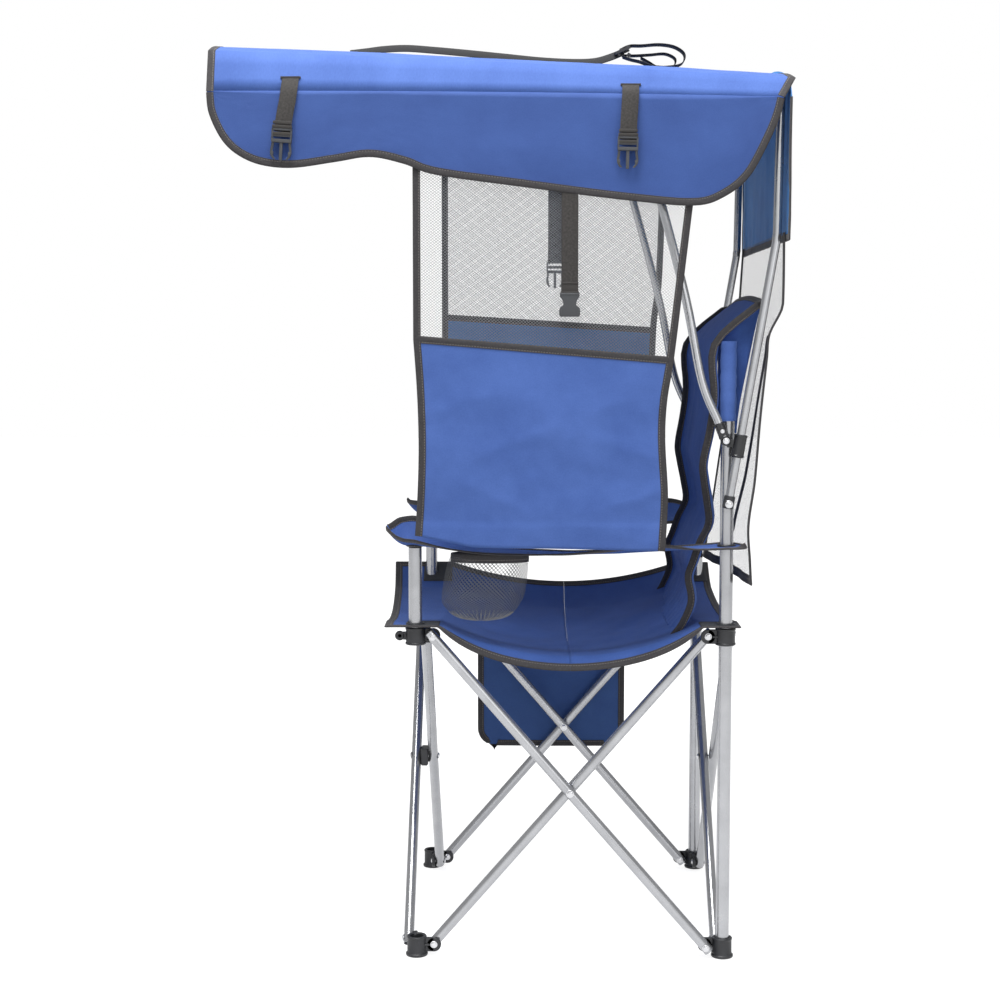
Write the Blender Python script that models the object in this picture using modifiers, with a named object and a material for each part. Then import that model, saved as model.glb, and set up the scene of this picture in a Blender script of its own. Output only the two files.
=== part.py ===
"""Folding camping chair with a tilting canopy: tubes, plastic joints and cloth, each piece its own object.

Metres, +Z up. The chair faces -Y, its left side is +X, and the floor is Z = 0.
"""
import math

import bmesh
import bpy
from mathutils import Matrix, Vector

# Frame: four corners, a pair of crossed legs in each side of the square
POST_SPAN = 0.462
PIVOT_INSET = 0.026
LEG_RISE = 0.472
FOOT_PIVOT_HEIGHT = 0.018
LEG_DIAMETER = 0.016
LEG_WALL = 0.0009
LEG_END = 0.009
POST_DIAMETER = 0.020
POST_WALL = 0.0012
GAP = 0.0003
OVERRUN = 0.002

# Plastic corner pieces
SOCKET_WALL = 0.0042
SOCKET_FLOOR = 0.004
FOOT_HEIGHT = 0.031
HUB_HEIGHT = 0.026
EAR_THICKNESS = 0.005
EAR_HALF_HEIGHT = 0.012
EAR_REACH = 0.008
EYELET_REACH = 0.017
EYELET_RADIUS = 0.0024
FRONT_SPACER = 0.011
SPACER_LENGTH = 0.030
SPACER_DEPTH_MARGIN = 0.006

# Rivets
PIN_RADIUS = 0.0025
HEAD_RADIUS = 0.0046
HEAD_HEIGHT = 0.0016

# Posts
ARM_HEIGHT = 0.624
PIVOT_RIVET_HEIGHT = 0.690
POST_ABOVE_PIVOT = 0.238

# Canopy side frames
CANOPY_TUBE_DIAMETER = 0.0127
CANOPY_TUBE_WALL = 0.0009
CLAMP_RADIUS = 0.010
CLAMP_LENGTH = 0.034
CLAMP_ABOVE_PIVOT = 0.085
ELBOW_FORWARD = 0.0195
ELBOW_LIFT = 0.008
ELBOW_RADIUS = 0.007
END_CAP_RADIUS = 0.0082
END_CAP_LENGTH = 0.026
LUG_THICKNESS = 0.005
REAR_TUBE_KNEE_BACK = 0.066
REAR_TUBE_KNEE_ABOVE_PIVOT = 0.388
REAR_TUBE_KNEE_BLEND = 0.028
REAR_TUBE_TOP_INSET = 0.012
FRONT_TUBE_REACH = 0.201
FRONT_TUBE_SHOULDER = 0.090
FRONT_TUBE_SHOULDER_DROP = 0.004
FRONT_TUBE_TIP_INSET = 0.030
# Bends of the front tube: forward as shares of its reach, up as shares of clamp to roof edge
FRONT_TUBE_BEND_SHARES = ((0.204, 0.189), (0.323, 0.419), (0.507, 0.691), (0.612, 0.821), (0.761, 0.915),
                          (1.0, 0.965))
FRONT_TUBE_ROOF_SHARES = (0.255, 0.51, 0.764, 1.0)

# Cloth
CLOTH = 0.0015
BINDING = 0.010
SEAT_ABOVE_HUB_PIVOT = 0.0165
SEAT_FRONT_FLAP = 0.044
SEAT_REAR_FLAP = 0.020
SEAT_SIDE_FLAP = 0.019
SEAT_SIDE_SAG = 0.058
SEAT_CROSS_SAG = 0.014
SLEEVE_ABOVE_PIVOT = 0.121
SLEEVE_WALL = 0.0015
BACK_ABOVE_POST = 0.056
BACK_TOP_ARCH = 0.014
BACK_TOP_REAR = 0.279
BACK_LOWER_HALF_WIDTH = 0.199
BACK_FORWARD = 0.204
BACK_HEM_FORWARD = 0.192
BACK_TUCK = 0.088
BACK_CREASE = 0.062
BACK_HEM = 0.052
BACK_LOWER_EDGE = 0.130
BACK_ROWS_A_STEP = 3
ARM_WIDTH = 0.060
ARM_FRONT_REACH = 0.044
ARM_REAR_REACH = 0.029
ARM_SAG = 0.012
ARM_TIP_LIFT = 0.030
ARM_TIP_NARROWING_SHARE = 0.8
CUP_LENGTH = 0.128
CUP_WIDTH = 0.050
CUP_DEPTH = 0.100
CUP_FROM_POST = 0.041
CUP_WALL = 0.0016
# Rings of the cup: depth and size as shares
CUP_RING_SHARES = ((0.0, 0.86), (0.35, 1.0), (0.8, 0.96), (1.0, 0.80))
POCKET_WIDTH = 0.256
POCKET_HEIGHT = 0.186
POCKET_CENTRE = -0.022
POCKET_BOTTOM = 0.214
POCKET_THICKNESS = 0.006
POCKET_CORNER = 0.030

# Roof
ROOF_OVERHANG = 0.0337
ROOF_FRONT = -0.522
ROOF_REAR = 0.312
ROOF_EDGE_HEIGHT = 1.283
ROOF_EDGE_DROP = 0.010
ROOF_RISE_FRONT = 0.102
ROOF_RISE_REAR = 0.069
# The slope strip above each edge: its width as a share of half the roof, its rise at the front and rear
ROOF_SLOPE_SHARE = 1 / 14
ROOF_SLOPE_FRONT = 0.060
ROOF_SLOPE_REAR = 0.030
# The near valance is deep, the far one only a short flap
VALANCE_DROP_LEFT = 0.161
VALANCE_DROP_RIGHT = 0.036
# Lower edge of a side valance: place as shares of the roof's length, drop as shares of its deepest drop
VALANCE_EDGE_SHARES = ((0.005, 0.205), (0.026, 0.422), (0.053, 0.553), (0.092, 0.634), (0.146, 0.665),
                       (0.218, 0.615), (0.279, 0.571), (0.338, 0.640), (0.391, 0.727), (0.536, 0.832),
                       (0.725, 0.957), (0.833, 1.0), (0.884, 0.925), (0.930, 0.745), (0.969, 0.36))
REAR_VALANCE_BOTTOM = 1.073
REAR_NET_HALF_WIDTH = 0.252
REAR_NET_BOTTOM = 0.545
REAR_NET_INSET = 0.025
REAR_NET_BELLY = 0.009
# Line of the rear net: height as shares of its length, depth as shares of its inset
REAR_NET_SHARES = ((0.0, 0.12), (0.218, 0.04), (0.455, 0.0), (0.742, 0.56), (0.837, 0.84), (1.0, 1.0))
SIDE_PANEL_TOP_LEFT = 1.236
SIDE_PANEL_TOP_RIGHT = 1.262
SIDE_PANEL_BOTTOM = 0.630
SIDE_PANEL_FRONT = -0.228
SIDE_PANEL_REAR = 0.140
WINDOW_BOTTOM = 0.926
WINDOW_TOP = 1.190
WINDOW_THREAD = 0.0025
WINDOW_COLUMNS = 8
WINDOW_ROWS = 6

# Straps
STRAP_WIDTH = 0.024
STRAP_THICKNESS = 0.0018
BUCKLE_LENGTH = 0.042
BUCKLE_WIDTH = 0.030
BUCKLE_THICKNESS = 0.009
FRONT_TIE_PLACE = -0.411
FRONT_TIE_LENGTH = 0.044
REAR_TIE_PLACE = 0.080
REAR_TIE_LENGTH = 0.057
LEFT_CENTRE_STRAP_TOP = 1.170
LEFT_CENTRE_STRAP_PLACE = -0.004
LEFT_CENTRE_STRAP_LENGTH = 0.166
RIGHT_CENTRE_STRAP_PLACE = -0.0165
RIGHT_CENTRE_STRAP_LENGTH = 0.2095
SHOULDER_STRAP_FRONT = -0.345
SHOULDER_STRAP_REAR = 0.150

HALF = POST_SPAN / 2
PIVOT = HALF - PIVOT_INSET
LEG_RADIUS = LEG_DIAMETER / 2
POST_RADIUS = POST_DIAMETER / 2
HUB_PIVOT_HEIGHT = FOOT_PIVOT_HEIGHT + LEG_RISE
SEAT_HEIGHT = HUB_PIVOT_HEIGHT + SEAT_ABOVE_HUB_PIVOT
SOCKET_RADIUS = POST_RADIUS + GAP + SOCKET_WALL
BORE_RADIUS = (POST_RADIUS + GAP) / math.cos(math.pi / 16)
LEG_OFFSET = LEG_RADIUS + GAP
FRONT_LEG_OFFSET = LEG_RADIUS + FRONT_SPACER / 2 + GAP
BACK_POST_TOP = PIVOT_RIVET_HEIGHT + POST_ABOVE_PIVOT
SLEEVE_BOTTOM = PIVOT_RIVET_HEIGHT + SLEEVE_ABOVE_PIVOT
BACK_TOP = BACK_POST_TOP + BACK_ABOVE_POST
CLAMP_HEIGHT = PIVOT_RIVET_HEIGHT + CLAMP_ABOVE_PIVOT
CANOPY_TUBE_RADIUS = CANOPY_TUBE_DIAMETER / 2
CANOPY_X = HALF + POST_RADIUS + GAP + CLAMP_RADIUS
ROOF_HALF_WIDTH = CANOPY_X + ROOF_OVERHANG
PANEL_X = ROOF_HALF_WIDTH - CLOTH - GAP
SLEEVE_RADIUS = POST_RADIUS + GAP + SLEEVE_WALL

COLOURS = {
    "satin_steel": ((0.62, 0.63, 0.65), 0.34, 0.9),
    "black_nylon": ((0.030, 0.031, 0.034), 0.5, 0.0),
    "zinc_rivet": ((0.75, 0.75, 0.76), 0.3, 1.0),
    "blue_cloth": ((0.045, 0.115, 0.36), 0.8, 0.0),
    "navy_cloth": ((0.022, 0.055, 0.17), 0.85, 0.0),
    "black_mesh": ((0.20, 0.21, 0.22), 0.8, 0.0),
    "black_webbing": ((0.045, 0.045, 0.047), 0.75, 0.0),
}


def fresh_collection(name):
    collection = bpy.data.collections.get(name) or bpy.data.collections.new(name)
    if name not in bpy.context.scene.collection.children:
        bpy.context.scene.collection.children.link(collection)
    return collection


for old in list(bpy.data.objects):
    bpy.data.objects.remove(old, do_unlink=True)
CHAIR = fresh_collection("camping_chair")
CUTTERS = fresh_collection("cutters")


def finish_of(name):
    """The Principled material of that name, made once."""
    found = bpy.data.materials.get(name)
    if found:
        return found
    colour, roughness, metallic = COLOURS[name]
    made = bpy.data.materials.new(name)
    made.use_nodes = True
    shader = made.node_tree.nodes["Principled BSDF"]
    shader.inputs["Base Color"].default_value = (*colour, 1)
    shader.inputs["Roughness"].default_value = roughness
    shader.inputs["Metallic"].default_value = metallic
    made.diffuse_color = (*colour, 1)
    return made


def keep(name, mesh, finish):
    """The mesh as a part of the chair."""
    mesh.materials.clear()
    mesh.materials.append(finish_of(finish))
    made = bpy.data.objects.new(name, mesh)
    CHAIR.objects.link(made)
    return made


def tool(mesh):
    """The mesh as a cutter or an adder, which is no part itself."""
    made = bpy.data.objects.new("tool", mesh)
    CUTTERS.objects.link(made)
    made.hide_render = True
    made.display_type = "WIRE"
    return made


def boolean(target, mesh, operation):
    step = target.modifiers.new(operation.lower(), "BOOLEAN")
    step.operation = operation
    step.solver = "EXACT"
    step.object = tool(mesh)


def cut(target, mesh):
    boolean(target, mesh, "DIFFERENCE")


def add(target, mesh):
    boolean(target, mesh, "UNION")


def smooth(mesh):
    mesh.shade_smooth()
    mesh.set_sharp_from_angle(angle=math.radians(40))
    return mesh


def along(start, end):
    """The placement whose Z runs from start to end, and the distance between them."""
    start, end = Vector(start), Vector(end)
    run = end - start
    turn = run.to_track_quat("Z", "Y").to_matrix().to_4x4()
    return Matrix.Translation((start + end) / 2) @ turn, run.length


def rod(start, end, radius, sides=8):
    """A round bar between two points."""
    place, length = along(start, end)
    bm = bmesh.new()
    bmesh.ops.create_cone(bm, cap_ends=True, segments=sides, radius1=radius, radius2=radius, depth=length)
    bmesh.ops.transform(bm, matrix=place, verts=bm.verts)
    mesh = bpy.data.meshes.new("rod")
    bm.to_mesh(mesh)
    bm.free()
    return smooth(mesh)


def block(low, high, round_by=0.0):
    """A box between two corners, its edges broken by round_by."""
    low, high = Vector(low), Vector(high)
    size = Vector((abs(high[i] - low[i]) for i in range(3)))
    place = Matrix.Translation((low + high) / 2) @ Matrix.Diagonal((*size, 1))
    bm = bmesh.new()
    bmesh.ops.create_cube(bm, size=1)
    bmesh.ops.transform(bm, matrix=place, verts=bm.verts)
    if round_by:
        bmesh.ops.bevel(bm, geom=bm.edges[:], offset=round_by, segments=1, affect="EDGES")
    mesh = bpy.data.meshes.new("block")
    bm.to_mesh(mesh)
    bm.free()
    return mesh


def pipe(name, points, radius, wall, finish):
    """A hollow tube through the points, open at both ends."""
    curve = bpy.data.curves.new(name, "CURVE")
    curve.dimensions = "3D"
    curve.bevel_depth = radius
    curve.bevel_resolution = 2
    curve.use_fill_caps = False
    spline = curve.splines.new("POLY")
    spline.points.add(len(points) - 1)
    for point, place in zip(spline.points, points):
        point.co = (*place, 1)
    guide = bpy.data.objects.new(name + "_line", curve)
    CHAIR.objects.link(guide)
    bpy.context.view_layer.update()
    mesh = bpy.data.meshes.new_from_object(guide.evaluated_get(bpy.context.evaluated_depsgraph_get()))
    bpy.data.objects.remove(guide, do_unlink=True)
    bm = bmesh.new()
    bm.from_mesh(mesh)
    bmesh.ops.remove_doubles(bm, verts=bm.verts, dist=GAP / 3)
    bmesh.ops.recalc_face_normals(bm, faces=bm.faces)
    middle = Vector(points[0])
    outward = sum(((f.calc_center_median() - middle).dot(f.normal) for f in bm.faces
                   if (f.calc_center_median() - middle).length < 3 * radius), 0.0)
    if outward < 0:
        bmesh.ops.reverse_faces(bm, faces=bm.faces)
    bm.to_mesh(mesh)
    bm.free()
    made = keep(name, smooth(mesh), finish)
    shell = made.modifiers.new("wall", "SOLIDIFY")
    shell.thickness = wall
    shell.offset = -1
    return made


def rounded(points, steps=2):
    """A smooth run through the points, corner by corner."""
    places = [Vector(p) for p in points]
    out = [places[0]]
    for i in range(len(places) - 1):
        before = places[max(i - 1, 0)]
        after = places[min(i + 2, len(places) - 1)]
        a, b = places[i], places[i + 1]
        for k in range(1, steps + 1):
            t = k / steps
            out.append(0.5 * ((2 * a) + (b - before) * t + (2 * before - 5 * a + 4 * b - after) * t ** 2
                              + (3 * a - before - 3 * b + after) * t ** 3))
    return out


def sheet(name, surface, across, down, finish, thickness=CLOTH):
    """A cloth whose middle is surface(u, v), u from -1 to 1 and v from 0 to 1."""
    bm = bmesh.new()
    bmesh.ops.create_grid(bm, x_segments=across, y_segments=down, size=1)
    for vert in bm.verts:
        vert.co = Vector(surface(vert.co.x, (vert.co.y + 1) / 2))
    mesh = bpy.data.meshes.new(name)
    bm.to_mesh(mesh)
    bm.free()
    made = keep(name, smooth(mesh), finish)
    body = made.modifiers.new("thickness", "SOLIDIFY")
    body.thickness = thickness
    body.offset = 0
    return made


STAND_ALONG_X = Matrix(((0, 0, 1, 0), (1, 0, 0, 0), (0, 1, 0, 0), (0, 0, 0, 1)))


def plate(name, outline, x, finish, thickness=CLOTH, holes=()):
    """A flat cut piece in the plane X = x, from an outline of (Y, Z) points."""
    curve = bpy.data.curves.new(name, "CURVE")
    curve.dimensions = "2D"
    curve.fill_mode = "BOTH"
    curve.extrude = thickness / 2
    for ring in (outline, *holes):
        spline = curve.splines.new("POLY")
        spline.points.add(len(ring) - 1)
        for point, (y, z) in zip(spline.points, ring):
            point.co = (y, z, 0, 1)
        spline.use_cyclic_u = True
    guide = bpy.data.objects.new(name + "_line", curve)
    CHAIR.objects.link(guide)
    bpy.context.view_layer.update()
    mesh = bpy.data.meshes.new_from_object(guide.evaluated_get(bpy.context.evaluated_depsgraph_get()))
    bpy.data.objects.remove(guide, do_unlink=True)
    bm = bmesh.new()
    bm.from_mesh(mesh)
    bmesh.ops.remove_doubles(bm, verts=bm.verts, dist=GAP / 3)
    bmesh.ops.transform(bm, matrix=Matrix.Translation((x, 0, 0)) @ STAND_ALONG_X, verts=bm.verts)
    bmesh.ops.recalc_face_normals(bm, faces=bm.faces)
    bm.to_mesh(mesh)
    bm.free()
    return keep(name, mesh, finish)


def blend_values(places, at):
    """The value at a place along a list of (place, value) pairs, straight between them."""
    for (p0, v0), (p1, v1) in zip(places, places[1:]):
        if at <= p1:
            share = (at - p0) / (p1 - p0)
            return v0 + (v1 - v0) * share
    return places[-1][1]


# Legs

def leg(name, axis, plane, offset, foot_side):
    """A straight leg from its foot's pivot up to the hub opposite.

    axis is the direction it runs along the floor, 0 for X and 1 for Y; plane is the side of the square it
    lies in; offset moves it off that side's middle; foot_side is the end of the run its foot stands at.
    """
    normal = 1 - axis

    def place(run, height):
        spot = [0, 0, height]
        spot[axis] = run
        spot[normal] = plane + offset
        return Vector(spot)

    foot, hub = place(foot_side * PIVOT, FOOT_PIVOT_HEIGHT), place(-foot_side * PIVOT, HUB_PIVOT_HEIGHT)
    direction = (hub - foot).normalized()
    ends = [foot - direction * LEG_END, hub + direction * LEG_END]
    made = pipe(name, ends, LEG_RADIUS, LEG_WALL, "satin_steel")
    for spot in (foot, (foot + hub) / 2, hub):
        reach = Vector((0, 0, 0))
        reach[normal] = LEG_RADIUS + OVERRUN
        cut(made, rod(spot - reach, spot + reach, PIN_RADIUS + GAP))
    return made


LEGS = {
    # name: (run axis, plane, offset, side of the foot along the run)
    "side_leg_left_fore": (1, HALF, -LEG_OFFSET, -1),
    "side_leg_left_aft": (1, HALF, LEG_OFFSET, 1),
    "side_leg_right_fore": (1, -HALF, -LEG_OFFSET, -1),
    "side_leg_right_aft": (1, -HALF, LEG_OFFSET, 1),
    "front_leg_left": (0, -HALF, -FRONT_LEG_OFFSET, 1),
    "front_leg_right": (0, -HALF, FRONT_LEG_OFFSET, -1),
    "rear_leg_left": (0, HALF, -LEG_OFFSET, 1),
    "rear_leg_right": (0, HALF, LEG_OFFSET, -1),
}
for leg_name, (run_axis, side_plane, side_offset, foot_end) in LEGS.items():
    leg(leg_name, run_axis, side_plane, side_offset, foot_end)


def crossing_rivet(name, normal, plane, offset):
    """The rivet through both legs where they cross, with a head at each end."""
    height = (FOOT_PIVOT_HEIGHT + HUB_PIVOT_HEIGHT) / 2
    reach = offset + LEG_RADIUS + GAP

    def spot(depth):
        where = [0, 0, height]
        where[normal] = plane + depth
        return where

    made = keep(name, rod(spot(-reach - HEAD_HEIGHT), spot(reach + HEAD_HEIGHT), PIN_RADIUS), "zinc_rivet")
    for side in (-1, 1):
        add(made, rod(spot(side * reach), spot(side * (reach + HEAD_HEIGHT)), HEAD_RADIUS))
    return made


crossing_rivet("side_rivet_left", 0, HALF, LEG_OFFSET)
crossing_rivet("side_rivet_right", 0, -HALF, LEG_OFFSET)
crossing_rivet("rear_rivet", 1, HALF, LEG_OFFSET)
crossing_rivet("front_bolt", 1, -HALF, FRONT_LEG_OFFSET)


def front_spacer():
    """The black block between the two front legs, round the bolt."""
    height = (FOOT_PIVOT_HEIGHT + HUB_PIVOT_HEIGHT) / 2
    half = FRONT_SPACER / 2 - GAP / 2
    half_length = SPACER_LENGTH / 2
    half_tall = LEG_RADIUS + SPACER_DEPTH_MARGIN
    made = keep("front_spacer", block((-half_length, -HALF - half, height - half_tall),
                                      (half_length, -HALF + half, height + half_tall), SOCKET_WALL / 2),
                "black_nylon")
    cut(made, rod((0, -HALF - half - OVERRUN, height), (0, -HALF + half + OVERRUN, height), PIN_RADIUS + GAP))


front_spacer()


# Corners

def corner(name, side_x, side_y, bottom, height, pivot_height, legs, post_from, eyelet=False):
    """A plastic corner piece: a socket for the post, an ear for each of its two legs, and their rivets."""
    x, y = side_x * HALF, side_y * HALF
    top = bottom + height
    made = keep(name, rod((x, y, bottom), (x, y, top), SOCKET_RADIUS, 16), "black_nylon")
    low = max(pivot_height - EAR_HALF_HEIGHT, bottom)
    high = min(pivot_height + EAR_HALF_HEIGHT, top)
    for normal, offset in legs:
        run = 1 - normal
        inward = (-side_x, -side_y)[run]
        away = 1 if offset > 0 else -1
        corner_place = (x, y)
        face = corner_place[normal] + offset - away * (LEG_RADIUS + GAP)
        near = corner_place[run] + inward * (POST_RADIUS + GAP + SOCKET_WALL / 2)
        far = corner_place[run] + inward * (PIVOT_INSET + EAR_REACH)
        first, second = [0, 0, low], [0, 0, high]
        first[normal], second[normal] = face - away * EAR_THICKNESS, face
        first[run], second[run] = near, far
        ear_low = [min(a, b) for a, b in zip(first, second)]
        ear_high = [max(a, b) for a, b in zip(first, second)]
        add(made, block(ear_low, ear_high, SOCKET_WALL / 4))
        pin = corner_place[run] + inward * PIVOT_INSET
        tube_end = corner_place[normal] + offset + away * (LEG_RADIUS + GAP)

        def spot(depth):
            where = [0, 0, pivot_height]
            where[run] = pin
            where[normal] = depth
            return where

        add(made, rod(spot(face - away * EAR_THICKNESS / 2), spot(tube_end + away * HEAD_HEIGHT), PIN_RADIUS))
        add(made, rod(spot(tube_end), spot(tube_end + away * HEAD_HEIGHT), HEAD_RADIUS))
    if eyelet:
        reach = y + side_y * (SOCKET_RADIUS + EYELET_REACH)
        start = y + side_y * (POST_RADIUS + GAP + SOCKET_WALL / 2)
        half = EAR_THICKNESS / 2
        add(made, block((x - half, min(start, reach), low), (x + half, max(start, reach), high),
                        SOCKET_WALL / 4))
        hole_y = reach - side_y * EAR_REACH
        hole_z = (low + high) / 2
        cut(made, rod((x - half - OVERRUN, hole_y, hole_z), (x + half + OVERRUN, hole_y, hole_z),
                      EYELET_RADIUS))
    cut(made, rod((x, y, post_from), (x, y, top + OVERRUN), BORE_RADIUS, 16))
    return made


def legs_at(side_x, side_y, at_foot):
    """The two legs of a corner, each as the normal of its plane and its offset."""
    found = []
    for run_axis, side_plane, side_offset, foot_end in LEGS.values():
        here = (side_x, side_y)
        in_plane = (side_plane > 0) == (here[1 - run_axis] > 0)
        end = foot_end if at_foot else -foot_end
        if in_plane and end == here[run_axis]:
            found.append((1 - run_axis, side_offset))
    return found


CORNERS = {"front_left": (1, -1), "front_right": (-1, -1), "rear_left": (1, 1), "rear_right": (-1, 1)}
HUB_BOTTOM = HUB_PIVOT_HEIGHT - HUB_HEIGHT / 2
for corner_name, (sx, sy) in CORNERS.items():
    foot_legs, hub_legs = legs_at(sx, sy, True), legs_at(sx, sy, False)
    corner("foot_" + corner_name, sx, sy, 0, FOOT_HEIGHT, FOOT_PIVOT_HEIGHT, foot_legs, SOCKET_FLOOR)
    front = sy < 0
    through = HUB_BOTTOM + SOCKET_FLOOR if front else HUB_BOTTOM - OVERRUN
    corner("hub_" + corner_name, sx, sy, HUB_BOTTOM, HUB_HEIGHT, HUB_PIVOT_HEIGHT, hub_legs, through, front)


# Posts
SIDES = {"left": 1, "right": -1}
for side_name, side in SIDES.items():
    x = side * HALF
    back_ends = [(x, HALF, SOCKET_FLOOR + GAP), (x, HALF, BACK_POST_TOP)]
    post = pipe("back_post_" + side_name, back_ends, POST_RADIUS, POST_WALL, "satin_steel")
    bore_reach = POST_RADIUS + OVERRUN
    cut(post, rod((x - bore_reach, HALF, PIVOT_RIVET_HEIGHT), (x + bore_reach, HALF, PIVOT_RIVET_HEIGHT),
                  PIN_RADIUS + GAP))
    arm_ends = [(x, -HALF, HUB_BOTTOM + SOCKET_FLOOR + GAP), (x, -HALF, ARM_HEIGHT - GAP * 4)]
    pipe("arm_post_" + side_name, arm_ends, POST_RADIUS, POST_WALL, "satin_steel")


# Canopy side frames

def roof_height(x, y):
    """The roof's height: a steep strip above each edge and a low arch between, lower towards the rear."""
    back_share = (y - ROOF_FRONT) / (ROOF_REAR - ROOF_FRONT)
    edge = ROOF_EDGE_HEIGHT - ROOF_EDGE_DROP * back_share ** 2
    rise = ROOF_RISE_FRONT + (ROOF_RISE_REAR - ROOF_RISE_FRONT) * back_share
    slope_rise = ROOF_SLOPE_FRONT + (ROOF_SLOPE_REAR - ROOF_SLOPE_FRONT) * back_share
    strip = ROOF_HALF_WIDTH * ROOF_SLOPE_SHARE
    arch = ROOF_HALF_WIDTH - strip
    if abs(x) > arch:
        return edge + slope_rise * (ROOF_HALF_WIDTH - abs(x)) / strip
    return edge + rise - (rise - slope_rise) * (x / arch) ** 2


def under_roof(y):
    """The height of a canopy tube's middle where it lies against the roof cloth, square to its slope."""
    inner, outer = CANOPY_X - CANOPY_TUBE_RADIUS, CANOPY_X + CANOPY_TUBE_RADIUS
    slope = (roof_height(inner, y) - roof_height(outer, y)) / (outer - inner)
    return roof_height(CANOPY_X, y) - (CANOPY_TUBE_RADIUS + CLOTH / 2 + GAP * 3) * math.hypot(1, slope)


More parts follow.
